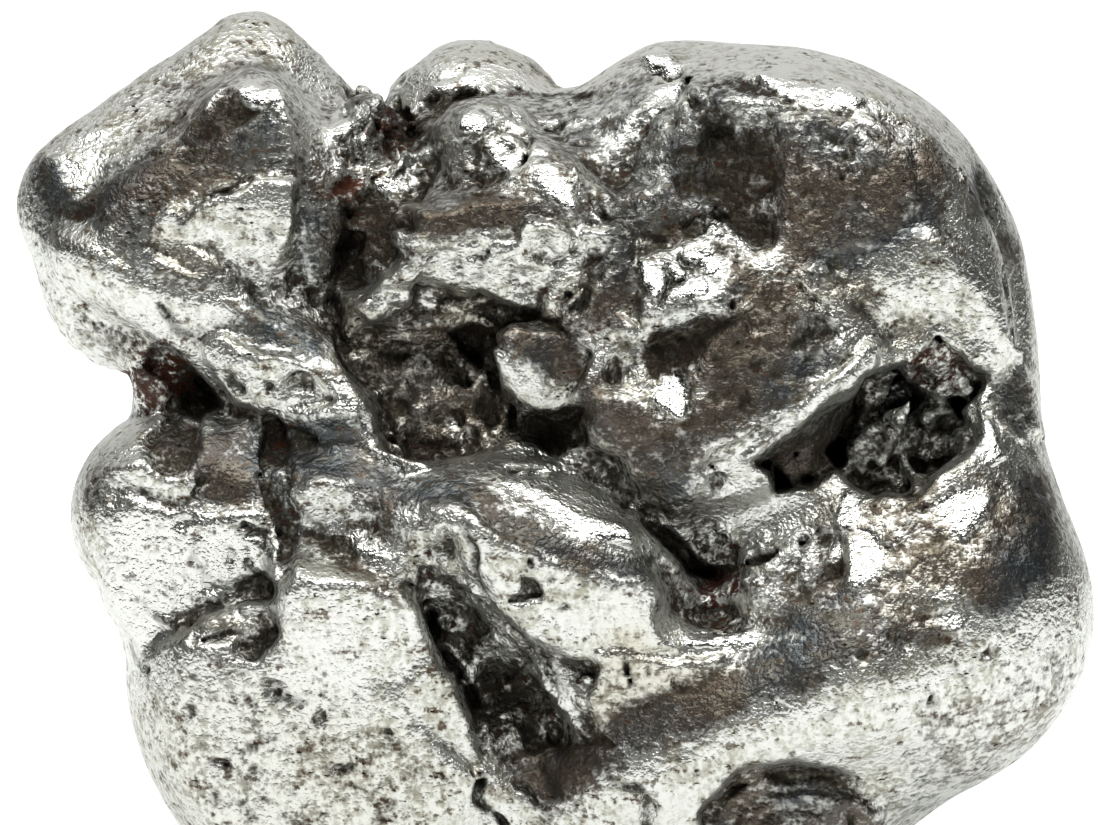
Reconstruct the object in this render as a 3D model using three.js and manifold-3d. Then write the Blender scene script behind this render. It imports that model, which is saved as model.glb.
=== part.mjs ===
// A polished iron meteorite: one lump of nickel-iron with rounded lobes, thumbprint hollows and
// cleavage faces, standing on the worn flats of its lower lobes.
//
// It is shaped as a distance field, in a face-on frame: x to the right, y up, z towards the viewer,
// with the origin near the middle of the lump. Lobes are grown into each other, hollows are carved
// out, and the field is then meshed, leant back and cut flat where it stands. Units are millimetres.

import * as THREE from "three";
import { mergeVertices } from "three/addons/utils/BufferGeometryUtils.js";
import { triTable } from "three/addons/objects/MarchingCubes.js";
import Module from "manifold-3d";

// Driving dimensions
const width = 43.1; // across the lobes, left to right
const leanBack = 10; // degrees between the face-on frame and the upright one
const standHeight = 18.15; // from the origin of the face-on frame down to where it stands
const cell = 1.15; // spacing of the grid that the field is meshed on
const reach = { x: 24, y: 21, z: 16 }; // half size of the grid

const degrees = Math.PI / 180;

// Shapes: each gives the distance from a point to its surface, negative inside.

function turned(at, turn = [0, 0, 0]) {
  const m = new THREE.Matrix4()
    .makeRotationFromEuler(new THREE.Euler(...turn.map((a) => a * degrees), "ZYX"))
    .transpose().elements;
  return (x, y, z) => {
    const [a, b, c] = [x - at[0], y - at[1], z - at[2]];
    return [
      m[0] * a + m[4] * b + m[8] * c,
      m[1] * a + m[5] * b + m[9] * c,
      m[2] * a + m[6] * b + m[10] * c,
    ];
  };
}

// An egg, which may be dressed to two flats that meet in a crest: at is a point on the crest, along
// its angle across the face, above and below how far the flats lean back from it, in degrees.
function ball({ at, size, turn, crest }) {
  const local = turned(at, turn);
  const flats = crest ? flatsOf(crest) : () => -Infinity;
  return (x, y, z) => {
    const [a, b, c] = local(x, y, z);
    const near = Math.hypot(a / size[0], b / size[1], c / size[2]);
    const slope = Math.hypot(a / size[0] ** 2, b / size[1] ** 2, c / size[2] ** 2);
    const egg = slope < 1e-9 ? -Math.min(...size) : (near * (near - 1)) / slope;
    return crest ? -smooth(-egg, -flats(x, y, z), crest.round ?? 2) : egg;
  };
}

function flatsOf({ at, along, above, below, round = 2 }) {
  const [s, c] = [Math.sin(along * degrees), Math.cos(along * degrees)];
  return (x, y, z) => {
    const up = (y - at[1]) * c - (x - at[0]) * s;
    const out = z - at[2];
    const top = up * Math.sin(above * degrees) + out * Math.cos(above * degrees);
    const bottom = -up * Math.sin(below * degrees) + out * Math.cos(below * degrees);
    return -smooth(-top, -bottom, round);
  };
}

// A rounded bar through points [x, y, z, radius].
function bar({ through }) {
  return (x, y, z) => {
    let least = Infinity;
    for (let i = 1; i < through.length; i++) {
      const [a, b] = [through[i - 1], through[i]];
      const d = [b[0] - a[0], b[1] - a[1], b[2] - a[2]];
      const along = ((x - a[0]) * d[0] + (y - a[1]) * d[1] + (z - a[2]) * d[2]) /
        (d[0] ** 2 + d[1] ** 2 + d[2] ** 2);
      const t = Math.min(1, Math.max(0, along));
      const away = Math.hypot(x - a[0] - t * d[0], y - a[1] - t * d[1], z - a[2] - t * d[2]);
      least = Math.min(least, away - a[3] - t * (b[3] - a[3]));
    }
    return least;
  };
}

const shapes = { ball, bar };

// The lump, in the order in which it is shaped. grow adds a form and carve takes one away;
// blend is the width over which the two surfaces run into each other.
const forms = [
  // Mass of the lump, and the heel under its back
  { grow: "ball", at: [0.5, 0, -3], size: [15.5, 12, 7.5] },
  { grow: "ball", at: [1.5, -12, -5.4], size: [9.5, 6.8, 5.6], blend: 3 },

  // Bottom: the keel, the lower right bulge and the neck between them
  { grow: "ball", at: [4.6, -11.6, -0.8], size: [10.4, 6.8, 10], blend: 2,
    crest: { at: [7, -10.3, 7.6], along: 26, above: 50, below: 18, round: 4 } },
  { grow: "ball", at: [13.4, -5.6, -0.4], size: [8.3, 8, 12], turn: [0, 0, 14], blend: 2,
    crest: { at: [14, -6.4, 9.8], along: 24, above: 27, below: 22, round: 5 } },
  { grow: "bar", through: [[3, -11.8, 5.2, 2], [12, -8.2, 7, 2.4]], blend: 2 },

  // Left lobes, one above the other
  { grow: "ball", at: [-14, -1.9, -0.8], size: [5.2, 4.6, 8.5], blend: 1,
    crest: { at: [-13.6, -1.3, 5.8], along: 4, above: 8, below: 26 } },
  { grow: "ball", at: [-8.4, -8.6, -0.8], size: [8.4, 9.8, 10], turn: [0, 0, 20], blend: 0.6,
    crest: { at: [-10, -3.6, 8.6], along: -12, above: 75, below: 20, round: 1 } },

  // Upper left head: the mass, its peak, snout and jaw, and the knob on its brow
  { grow: "ball", at: [-12.6, 9.4, -2.2], size: [7, 5.6, 8.3], turn: [0, 0, 12], blend: 1.5,
    crest: { at: [-12.6, 11.2, 5.4], along: 8, above: 30, below: 25 } },
  { grow: "bar",
    through: [[-18.4, 10.6, -1.2, 3], [-14.6, 13.4, -2.4, 3],
      [-11.9, 15.6, -2.8, 2.8], [-8.8, 12.2, -3, 2.6]],
    blend: 1.2 },
  { grow: "ball", at: [-17.2, 7.2, -1.6], size: [3.2, 3, 3.8], turn: [0, 0, -25], blend: 1.5 },
  { grow: "ball", at: [-12, 13.4, 2], size: [2.1, 2.6, 3.2], turn: [0, 0, -20], blend: 1.6 },
  { grow: "ball", at: [-13, 6.2, -0.4], size: [7.6, 2.6, 7.5], turn: [0, 0, -28], blend: 1,
    crest: { at: [-12.6, 6.8, 5.2], along: -28, above: 45, below: 22 } },

  // Crown: middle hump, right hump and the big right-hand shoulder with its rim
  { grow: "ball", at: [-0.5, 10.8, -2.5], size: [8, 4.2, 6.5], blend: 2 },
  { grow: "ball", at: [-3, 14.4, -4.2], size: [3.5, 2.8, 4], blend: 1 },
  { grow: "ball", at: [4.6, 14, -2.2], size: [3, 2.9, 4.4], blend: 2 },
  { grow: "ball", at: [9.6, 9.2, -1.4], size: [9, 7.6, 11], turn: [0, 0, -20], blend: 2,
    crest: { at: [12, 9.6, 7.6], along: 18, above: 6, below: 25, round: 2.5 } },
  { grow: "ball", at: [14.9, 6.6, -2], size: [4.3, 6, 7], turn: [0, 0, 10], blend: 1 },
  { grow: "bar",
    through: [[5.6, 13.6, 4.4, 1.1], [8.4, 14.3, 5, 1.1], [11.8, 13.9, 5, 1.1],
      [14.4, 12.2, 4.6, 1], [15.6, 9.8, 4.6, 1]],
    blend: 1.6 },

  // Right flank, and the slope that ends in a diagonal ledge
  { grow: "ball", at: [14.4, 1, -1], size: [5.2, 7, 7.4], blend: 2 },
  { grow: "ball", at: [14.2, 6.4, -1], size: [4.8, 6, 9.4], turn: [0, 0, 10], blend: 1,
    crest: { at: [14.6, 9.6, 7.2], along: 34, above: 6, below: 18, round: 1.5 } },
  { grow: "ball", at: [7.4, 3.4, -1], size: [7.4, 5.3, 11], turn: [0, 0, 34], blend: 2.2,
    crest: { at: [8.8, 1.8, 8.4], along: 36, above: 10, below: 34, round: 1 } },

  // Middle: the nose with its brow to the left, and the plate above
  { grow: "ball", at: [-1.2, -4.2, 0], size: [7.8, 5, 12.5], turn: [0, 0, -16], blend: 1.2,
    crest: { at: [-0.4, -1.9, 10], along: -22, above: 34, below: 24, round: 3 } },
  { grow: "ball", at: [-8, -1, 0], size: [5, 2.8, 9], turn: [0, 0, 4], blend: 1,
    crest: { at: [-8, -1.2, 7.8], along: 2, above: 30, below: 30, round: 3 } },
  { grow: "ball", at: [-9.4, 3.2, 0], size: [5, 2.2, 8.5], turn: [0, 0, -28], blend: 1,
    crest: { at: [-9.4, 3.6, 6.8], along: -28, above: 40, below: 30 } },
  { grow: "ball", at: [-2.2, 8.4, 0], size: [5.6, 3.3, 10], turn: [0, 0, -4], blend: 1,
    crest: { at: [-2, 10.4, 7.8], along: -2, above: 42, below: 22, round: 1 } },
  { grow: "ball", at: [4.4, -8, 2], size: [5, 2.8, 7], turn: [0, 0, 16], blend: 1,
    crest: { at: [5, -7.2, 8.2], along: 4, above: 40, below: 26 } },

  // Cleavage block under the scoop, and the ridge from it down to the left
  { grow: "ball", at: [5.8, 7.4, 3], size: [3.4, 2.6, 6], turn: [0, 0, 12], blend: 0.8,
    crest: { at: [5.8, 6.4, 8.4], along: 12, above: 28, below: 60, round: 0.6 } },
  { grow: "bar", through: [[3.4, 6.2, 6.6, 1.2], [2.4, 5, 7, 1.3], [1.8, 2.4, 6.6, 1.3]], blend: 1.2 },

  // Knobs between the humps
  { grow: "ball", at: [-2.9, 13, 2.2], size: [1.9, 2, 2.6], blend: 1 },
  { grow: "ball", at: [-1.4, 11.8, 4], size: [1.7, 1.6, 2.4], blend: 1 },
  { grow: "ball", at: [0.6, 11, 4.6], size: [2.2, 1.4, 2.6], turn: [0, 0, -30], blend: 1 },
  { grow: "ball", at: [-7.2, 13.4, 0.8], size: [1.4, 2, 2], blend: 0.6 },

  // Hollows
  { carve: "bar", through: [[-7, 15, 5.6, 1.2], [-7, 9.6, 6, 1.7], [-7.2, 6.4, 8, 1.2]], blend: 1.2 },
  { carve: "bar", through: [[6.8, 13, 8, 1], [7.8, 11.6, 7.8, 1.7], [7.4, 9.8, 8.4, 1.4]], blend: 1.2 },
  { carve: "bar",
    through: [[-21, 3.2, 3, 0.9], [-16.5, 3.2, 4, 1.3], [-12.6, 1.9, 6, 0.9]],
    blend: 0.5 },
  { carve: "bar",
    through: [[-11.1, 1.6, 8.6, 0.7], [-10.8, -1.6, 8.8, 0.7], [-10.6, -4.4, 9.4, 0.7]],
    blend: 0.4 },
  { carve: "bar", through: [[-10, -2.8, 9.6, 0.5], [-5.6, -4.6, 9.6, 0.7]], blend: 0.4 },
  { carve: "bar",
    through: [[-4.8, -3.6, 8.6, 0.9], [-3.9, -6.2, 7.4, 1.6], [-2.2, -9, 6.4, 2], [-0.8, -11.6, 6.6, 1.4]],
    blend: 0.6 },
  { carve: "bar",
    through: [[-1.4, 2.2, 9.4, 0.9], [1.4, 1.6, 9.8, 1], [3.8, -1.4, 9.8, 1], [7.2, -5, 9, 1.2]],
    blend: 1.2 },
  { carve: "bar",
    through: [[10.4, -0.8, 8.2, 0.8], [12.6, 0.9, 6.2, 1.6], [14.8, 2.3, 5.2, 1.9], [16.8, 2.9, 4.8, 1.2]],
    blend: 0.7 },
  { carve: "ball", at: [-0.4, 4.4, 9], size: [3, 2, 4.6], blend: 0.6 },
  { grow: "ball", at: [-0.2, 4.2, 4.6], size: [1.9, 1.7, 1.8], turn: [0, 0, -20], blend: 0.3 },
  { carve: "ball", at: [10.2, -14.6, 8.6], size: [3.5, 2.8, 3.2], blend: 0.8 },
  { carve: "ball", at: [-12.2, -6, 8.6], size: [1.8, 1.5, 2.6], blend: 0.5 },
  { carve: "ball", at: [-14.9, 0.9, 6.6], size: [1.1, 1, 1.6], blend: 0.5 },
  { grow: "ball", at: [-15.4, 3.7, 0.8], size: [1.7, 1.3, 1.8], blend: 0.4 },
  { carve: "bar",
    through: [[17.6, 11, 2.6, 0.8], [19, 8, 2.4, 0.9], [19.2, 4.6, 2.6, 0.7]],
    blend: 0.8 },

  // Thumbprints on the back
  { carve: "ball", at: [-11.4, 7.6, -12.2], size: [4.4, 3.6, 4], turn: [0, 0, 25], blend: 1.6 },
  { carve: "ball", at: [-2.4, 6.8, -13], size: [4.2, 4.8, 4], turn: [0, 0, -15], blend: 1.6 },
  { carve: "ball", at: [6.4, 9.6, -13.4], size: [4.6, 3.2, 3.6], turn: [0, 0, 10], blend: 1.6 },
  { carve: "ball", at: [12.6, 2.6, -12.4], size: [4, 4.6, 4], turn: [0, 0, -20], blend: 1.6 },
  { carve: "ball", at: [3.6, 0.2, -14], size: [4.2, 3.4, 4.4], blend: 1.6 },
  { carve: "ball", at: [-13.6, -2.4, -11.4], size: [3.6, 4, 4], turn: [0, 0, 12], blend: 1.6 },
  { carve: "ball", at: [-5.4, -4.2, -13.4], size: [4, 3.8, 4], turn: [0, 0, 30], blend: 1.6 },
  { carve: "ball", at: [10.6, -7.2, -13.2], size: [4.6, 3.8, 4], turn: [0, 0, -12], blend: 1.6 },
  { carve: "ball", at: [-8.6, -11.6, -11], size: [3.4, 3.2, 3.4], blend: 1.6 },
  { carve: "ball", at: [1.4, -9.6, -14], size: [3.4, 3, 4], blend: 1.6 },
];

function smooth(a, b, blend) {
  if (blend <= 0) return Math.min(a, b);
  const h = Math.max(blend - Math.abs(a - b), 0) / blend;
  return Math.min(a, b) - h * h * blend * 0.25;
}

const steps = forms.map((form) => ({
  grows: Boolean(form.grow),
  blend: form.blend ?? 0,
  distance: shapes[form.grow ?? form.carve](form),
}));

function field(x, y, z) {
  let d = Infinity;
  for (const { grows, blend, distance } of steps) {
    const f = distance(x, y, z);
    d = grows ? smooth(d, f, blend) : -smooth(-d, f, blend);
  }
  return d;
}

// Marching cubes over the grid, with the points shared between neighbouring cells.
function meshField() {
  const [nx, ny, nz] = [reach.x, reach.y, reach.z].map((r) => Math.ceil((2 * r) / cell) + 1);
  const at = (i, j, k) => [i * cell - reach.x, j * cell - reach.y, k * cell - reach.z];
  const index = (i, j, k) => i + nx * (j + ny * k);
  const value = new Float64Array(nx * ny * nz);
  for (let k = 0; k < nz; k++)
    for (let j = 0; j < ny; j++)
      for (let i = 0; i < nx; i++) value[index(i, j, k)] = field(...at(i, j, k));

  const corners = [
    [0, 0, 0], [1, 0, 0], [1, 1, 0], [0, 1, 0], [0, 0, 1], [1, 0, 1], [1, 1, 1], [0, 1, 1],
  ];
  const edges = [
    [0, 1], [1, 2], [3, 2], [0, 3], [4, 5], [5, 6], [7, 6], [4, 7], [0, 4], [1, 5], [2, 6], [3, 7],
  ];
  const points = [];
  const faces = [];
  const seen = new Map();
  for (let k = 0; k < nz - 1; k++)
    for (let j = 0; j < ny - 1; j++)
      for (let i = 0; i < nx - 1; i++) {
        const ids = corners.map(([a, b, c]) => index(i + a, j + b, k + c));
        const kind = ids.reduce((bits, id, n) => bits | (value[id] < 0 ? 1 << n : 0), 0);
        const row = kind * 16;
        for (let t = 0; triTable[row + t] !== -1; t += 3) {
          const face = [0, 2, 1].map((n) => {
            const [p, q] = edges[triTable[row + t + n]];
            const key = ids[p] * 8 + (ids[q] - ids[p] === 1 ? 0 : ids[q] - ids[p] === nx ? 1 : 2);
            if (!seen.has(key)) {
              const share = value[ids[p]] / (value[ids[p]] - value[ids[q]]);
              const clear = Math.min(0.9, Math.max(0.1, share));
              const [a, b] = [p, q].map((c) => at(i + corners[c][0], j + corners[c][1], k + corners[c][2]));
              seen.set(key, points.length / 3);
              points.push(...a.map((v, axis) => v + clear * (b[axis] - v)));
            }
            return seen.get(key);
          });
          faces.push(...face);
        }
      }
  return { points, faces };
}

// Evens out the triangles: each point moves to the middle of its neighbours, then back onto the field.
function relax({ points, faces }, rounds) {
  const near = Array.from({ length: points.length / 3 }, () => new Set());
  for (let f = 0; f < faces.length; f += 3)
    for (let n = 0; n < 3; n++) {
      near[faces[f + n]].add(faces[f + ((n + 1) % 3)]);
      near[faces[f + n]].add(faces[f + ((n + 2) % 3)]);
    }
  const step = 0.05;
  for (let round = 0; round < rounds; round++) {
    const middle = near.map((set) => {
      const sum = [0, 0, 0];
      for (const n of set) sum.forEach((_, axis) => (sum[axis] += points[3 * n + axis]));
      return sum.map((v) => v / set.size);
    });
    middle.forEach((m, n) => {
      const p = [0, 1, 2].map((axis) => 0.5 * (points[3 * n + axis] + m[axis]));
      for (let tries = 0; tries < 2; tries++) {
        const d = field(...p);
        const slope = [0, 1, 2].map((axis) => {
          const q = [...p];
          q[axis] += step;
          return (field(...q) - d) / step;
        });
        const steep = Math.max(0.3, slope[0] ** 2 + slope[1] ** 2 + slope[2] ** 2);
        slope.forEach((s, axis) => {
          p[axis] -= Math.max(-0.5, Math.min(0.5, (d * s) / steep));
        });
      }
      p.forEach((v, axis) => (points[3 * n + axis] = v));
    });
  }
}

const made = meshField();
relax(made, 3);
const geometry = new THREE.BufferGeometry();
geometry.setAttribute("position", new THREE.Float32BufferAttribute(made.points, 3));
geometry.setIndex(made.faces);
geometry.computeBoundingBox();
const { min, max } = geometry.boundingBox;
const grown = width / (max.x - min.x);
geometry.scale(grown, grown, grown);
geometry.rotateX((90 - leanBack) * degrees);
geometry.translate(0, 0, standHeight);

// Cut flat where it stands
const wasm = await Module();
wasm.setup();
function solid(g) {
  const bare = g.clone();
  bare.deleteAttribute("normal");
  bare.deleteAttribute("uv");
  const merged = mergeVertices(bare, 1e-4);
  return new wasm.Manifold(
    new wasm.Mesh({
      numProp: 3,
      vertProperties: merged.attributes.position.array,
      triVerts: new Uint32Array(merged.index.array),
    }),
  );
}
const below = new THREE.BoxGeometry(80, 80, 20).translate(0, 0, -10);
const lump = solid(geometry).subtract(solid(below)).getMesh();

const finished = new THREE.BufferGeometry();
finished.setAttribute("position", new THREE.BufferAttribute(lump.vertProperties, 3));
finished.setIndex(new THREE.BufferAttribute(lump.triVerts, 1));
finished.computeVertexNormals();

const meteorite = new THREE.Mesh(
  finished,
  new THREE.MeshStandardMaterial({ color: 0xb9b8b4, roughness: 0.25, metalness: 1 }),
);
meteorite.name = "meteorite";

const group = new THREE.Group();
group.add(meteorite);
export default group;
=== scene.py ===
import math
import random

import bmesh
import bpy
import numpy as np
import openvdb
from mathutils import Matrix, Vector


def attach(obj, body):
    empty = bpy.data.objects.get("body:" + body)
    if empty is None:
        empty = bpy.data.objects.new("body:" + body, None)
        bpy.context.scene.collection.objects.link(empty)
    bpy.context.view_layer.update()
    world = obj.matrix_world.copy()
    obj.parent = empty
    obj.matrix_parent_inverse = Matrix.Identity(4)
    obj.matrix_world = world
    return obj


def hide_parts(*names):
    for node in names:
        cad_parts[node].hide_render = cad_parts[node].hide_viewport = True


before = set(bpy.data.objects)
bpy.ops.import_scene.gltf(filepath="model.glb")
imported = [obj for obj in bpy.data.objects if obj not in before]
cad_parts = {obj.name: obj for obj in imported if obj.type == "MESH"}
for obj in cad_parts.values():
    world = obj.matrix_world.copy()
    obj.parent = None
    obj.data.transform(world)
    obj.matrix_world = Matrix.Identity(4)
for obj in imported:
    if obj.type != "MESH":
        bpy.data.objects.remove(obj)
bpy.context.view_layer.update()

# The lump is worked in the same face-on frame as its solid: millimetres, x to the right, y up and
# z towards the viewer. It is leant back and stood on its base at the end.
lump = {
    "leanBack": 10.0,  # degrees
    "standHeight": 18.15,  # mm from the base up to the origin of the face-on frame
    "rounding": 2,  # rounds of subdivision that take the facets off the solid
    "voxel": 0.16,  # mm
    "band": 6,  # voxels of true distance on each side of the surface
    "triangles": 190000,
    "seed": 11,
    "swell": {"broad": 0.05, "middle": 0.018},  # mm of slow unevenness all over
    "tornDepth": 0.1,  # mm of roughness on sheltered ground
    "wornDepth": {"fine": 0.006, "dust": 0.005},  # mm of roughness on open ground
}

lean = math.radians(lump["leanBack"])
faceToWorld = (
    Matrix.Translation((0, 0, lump["standHeight"] * 0.001))
    @ Matrix.Rotation(math.pi / 2 - lean, 4, "X")
    @ Matrix.Scale(0.001, 4)
)
worldToFace = faceToWorld.inverted()


def moved(points, matrix):
    m = np.array(matrix)
    return (points @ m[:3, :3].T + m[:3, 3]).astype(np.float32)


# The solid with its facets rounded off, as points and triangles in the face-on frame.
def roundedSolid():
    shape = bpy.data.objects.new("rounding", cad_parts["meteorite"].data.copy())
    bpy.context.scene.collection.objects.link(shape)
    sewn = bmesh.new()
    sewn.from_mesh(shape.data)
    bmesh.ops.remove_doubles(sewn, verts=sewn.verts, dist=1e-6)
    sewn.to_mesh(shape.data)
    sewn.free()
    shape.modifiers.new("subdivision", "SUBSURF").levels = lump["rounding"]
    ready = shape.evaluated_get(bpy.context.evaluated_depsgraph_get()).to_mesh()
    points = np.empty(len(ready.vertices) * 3, np.float32)
    ready.vertices.foreach_get("co", points)
    ready.calc_loop_triangles()
    corners = np.empty(len(ready.loop_triangles) * 3, np.int32)
    ready.loop_triangles.foreach_get("vertices", corners)
    bpy.data.objects.remove(shape)
    return moved(points.reshape(-1, 3), worldToFace), corners.reshape(-1, 3)


print("rounding the solid")
solidPoints, solidCorners = roundedSolid()

voxel = lump["voxel"]
room = 1.0  # mm left free round the solid
lowest = solidPoints.min(0) - room
counts = np.ceil((solidPoints.max(0) + room - lowest) / voxel).astype(int) + 1


def solidField():
    grid = openvdb.FloatGrid.createLevelSetFromPolygons(
        solidPoints / voxel, triangles=solidCorners, halfWidth=lump["band"]
    )
    values = np.zeros(tuple(counts), np.float32)
    start = np.round(lowest / voxel).astype(int)
    grid.copyToArray(values, ijk=tuple(int(v) for v in start))
    return values * voxel, start


print("measuring distances from it on a grid of", tuple(counts))
field, gridStart = solidField()
axes = [((gridStart[a] + np.arange(counts[a])) * voxel).astype(np.float32) for a in range(3)]


# Noise over the whole grid: random values on a coarse lattice, joined by smooth splines.
def splineWeights(along, spacing, offset):
    place = (along - along[0]) / spacing + offset
    whole = np.floor(place).astype(int)
    t = place - whole
    size = int(whole.max()) + 4
    weights = np.zeros((len(along), size), np.float32)
    rows = np.arange(len(along))
    for step, share in enumerate(
        ((1 - t) ** 3, 3 * t**3 - 6 * t**2 + 4, -3 * t**3 + 3 * t**2 + 3 * t + 1, t**3)
    ):
        weights[rows, whole + step] = share / 6
    return weights


def noiseOver(spacing, seed):
    dice = np.random.RandomState(lump["seed"] * 1000 + seed)
    wx, wy, wz = [splineWeights(axis, spacing, dice.rand()) for axis in axes]
    lattice = dice.uniform(-1, 1, (wx.shape[1], wy.shape[1], wz.shape[1])).astype(np.float32)
    part = np.tensordot(wx, lattice, (1, 0))
    part = np.tensordot(part, wy, (1, 1))
    part = np.tensordot(part, wz, (1, 1))
    return part / part[::4, ::4, ::4].std()


# Forms cut into the lump or grown on it, each worked only on the part of the grid that it reaches.
def smoothLeast(a, b, blend):
    near = np.maximum(blend - np.abs(a - b), 0) / blend
    return np.minimum(a, b) - near * near * (blend * 0.25)


# The part of the grid between two corners, and its places, bent a little by waver.
def patchOf(low, high, waver=0.0):
    spans = []
    for a in range(3):
        first = int(np.clip((low[a] - axes[a][0]) / voxel, 0, counts[a] - 1))
        last = int(np.clip((high[a] - axes[a][0]) / voxel + 2, first + 1, counts[a]))
        spans.append(slice(first, last))
    spans = tuple(spans)
    x = axes[0][spans[0]][:, None, None]
    y = axes[1][spans[1]][None, :, None]
    z = axes[2][spans[2]][None, None, :]
    if waver:
        x, y = x + waver * bends[0][spans], y + waver * bends[1][spans]
    return spans, x, y, z


# Places as seen from a form that is turned by degrees round x, then y, then z.
def localOf(x, y, z, at, turn):
    a, b, c = (math.radians(v) for v in turn)
    spin = Matrix.Rotation(c, 3, "Z") @ Matrix.Rotation(b, 3, "Y") @ Matrix.Rotation(a, 3, "X")
    m = np.array(spin.transposed())
    a, b, c = x - at[0], y - at[1], z - at[2]
    return [m[n, 0] * a + m[n, 1] * b + m[n, 2] * c for n in range(3)]


# Cuts a form out of the lump or adds it, softly over blend. dark is the painted shade left in a
# cut.
def carve(spans, distance, cut, blend, rough, dark):
    here = field[spans]
    if rough:
        distance = distance + rough * grain["fine"][spans]
    if cut:
        field[spans] = -smoothLeast(-here, distance, blend)
        cutShade[spans] = np.maximum(cutShade[spans], dark * np.clip(1.3 - np.abs(distance) / 0.3, 0, 1))
    else:
        field[spans] = smoothLeast(here, distance, blend)


def ball(at, size, turn=(0, 0, 0), cut=False, blend=0.3, rough=0.0, waver=0.2, dark=0.0):
    reach = max(size) + blend + 0.5
    spans, x, y, z = patchOf([v - reach for v in at], [v + reach for v in at], waver)
    a, b, c = localOf(x, y, z, at, turn)
    near = np.sqrt((a / size[0]) ** 2 + (b / size[1]) ** 2 + (c / size[2]) ** 2)
    slope = np.sqrt((a / size[0] ** 2) ** 2 + (b / size[1] ** 2) ** 2 + (c / size[2] ** 2) ** 2)
    carve(spans, near * (near - 1) / np.maximum(slope, 1e-6), cut, blend, rough, dark)


# A round cord through points of x, y, z and radius.
def path(points, cut=False, blend=0.2, rough=0.0, waver=0.15, dark=0.0):
    pts = np.array(points, float)
    reach = pts[:, 3].max() + blend + 0.5
    spans, x, y, z = patchOf(pts[:, :3].min(0) - reach, pts[:, :3].max(0) + reach, waver)
    least = None
    for p, q in zip(pts[:-1], pts[1:]):
        d = q[:3] - p[:3]
        a, b, c = x - p[0], y - p[1], z - p[2]
        t = np.clip((a * d[0] + b * d[1] + c * d[2]) / max(float(d @ d), 1e-9), 0, 1)
        away = np.sqrt((a - t * d[0]) ** 2 + (b - t * d[1]) ** 2 + (c - t * d[2]) ** 2)
        away = away - p[3] - t * (q[3] - p[3])
        least = away if least is None else np.minimum(least, away)
    carve(spans, least, cut, blend, rough, dark)


# The height of the front surface, or of the back, over a point of the face-on plane.
def skin(x, y, back=False):
    column = field[
        int(np.clip(round((x - axes[0][0]) / voxel), 0, counts[0] - 1)),
        int(np.clip(round((y - axes[1][0]) / voxel), 0, counts[1] - 1)),
    ]
    inside = np.nonzero(column < 0)[0]
    if not len(inside):
        return 0.0
    if back:
        n = max(int(inside[0]), 1)
        return float(axes[2][n] - column[n] / (column[n] - column[n - 1]) * voxel)
    n = min(int(inside[-1]), counts[2] - 2)
    share = column[n] / (column[n] - column[n + 1])
    return float(axes[2][n] + share * voxel)


# The value of a grid at each of some points.
def sampled(values, points):
    place = (points - np.array([a[0] for a in axes])) / voxel
    whole = np.clip(np.floor(place).astype(int), 0, counts - 2)
    t = np.clip(place - whole, 0, 1)
    total = 0
    for corner in range(8):
        c = np.array([corner & 1, corner >> 1 & 1, corner >> 2 & 1])
        share = np.prod(np.where(c, t, 1 - t), axis=1)
        total = total + share * values[tuple((whole + c).T)]
    return total


# A line of x, y, radius and sink along the front or back, laid on the surface in short steps.
def laid(line, back=False, step=0.5):
    points = np.array(line, float).reshape(-1, 4).tolist()
    out = []
    for p, q in zip(points[:-1], points[1:]):
        pieces = max(1, int(math.hypot(q[0] - p[0], q[1] - p[1]) / step))
        for n in range(pieces):
            out.append([a + (b - a) * n / pieces for a, b in zip(p, q)])
    out.append(list(points[-1]))
    laidOut = []
    for x, y, r, sink in out:
        z = skin(x, y, back)
        swell = sampled(grain["middle"], np.array([[x, y, z]]))[0]
        uneven = 1 + 0.25 * float(np.clip(swell, -1.5, 1.5))
        laidOut.append((x, y, z + sink if back else z - sink, r * uneven))
    return laidOut


def crack(line, blend=0.1, rough=0.05, waver=0.22, dark=1.0, back=False):
    path(laid(line, back), True, blend, rough, waver, dark)


def ridge(line, blend=0.5, rough=0.02, waver=0.2):
    path(laid(line), False, blend, rough, waver)


def pit(x, y, size, sink=0.0, turn=(0, 0, 0), blend=0.2, rough=0.05, waver=0.25, dark=0.6):
    ball((x, y, skin(x, y) - sink), size, turn, True, blend, rough, waver, dark)


def knob(x, y, size, sink=0.4, turn=(0, 0, 0), blend=0.6, rough=0.03, waver=0.2):
    ball((x, y, skin(x, y) - sink), size, turn, False, blend, rough, waver)


# Small long pits that all point one way: x, y and size of each.
def specks(places, shape=(1, 0.5, 0.65), turn=-35, dark=0.8):
    for x, y, size in np.array(places, float).reshape(-1, 3).tolist():
        pit(x, y, [size * part for part in shape], turn=(0, 0, turn), dark=dark)


# How far a place lies inside an outline, negative outside it.
def depthInside(corners, x, y):
    shape = np.broadcast(x, y).shape
    inside, away = np.zeros(shape, bool), np.full(shape, 9.0)
    for (ax, ay), (bx, by) in zip(corners, np.roll(corners, -1, axis=0)):
        dx, dy = bx - ax, by - ay
        t = np.clip(((x - ax) * dx + (y - ay) * dy) / (dx * dx + dy * dy), 0, 1)
        away = np.minimum(away, np.hypot(x - ax - t * dx, y - ay - t * dy))
        inside ^= ((ay > y) != (by > y)) & (x < ax + (y - ay) * dx / (dy if dy else 1e-9))
    return np.where(inside, away, -away)


# The direction of a face that is leant up and to the right by degrees.
def facing(lean):
    rise, side = math.radians(lean[0]), math.radians(lean[1])
    return math.sin(side) * math.cos(rise), math.sin(rise), math.cos(side) * math.cos(rise)
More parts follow.
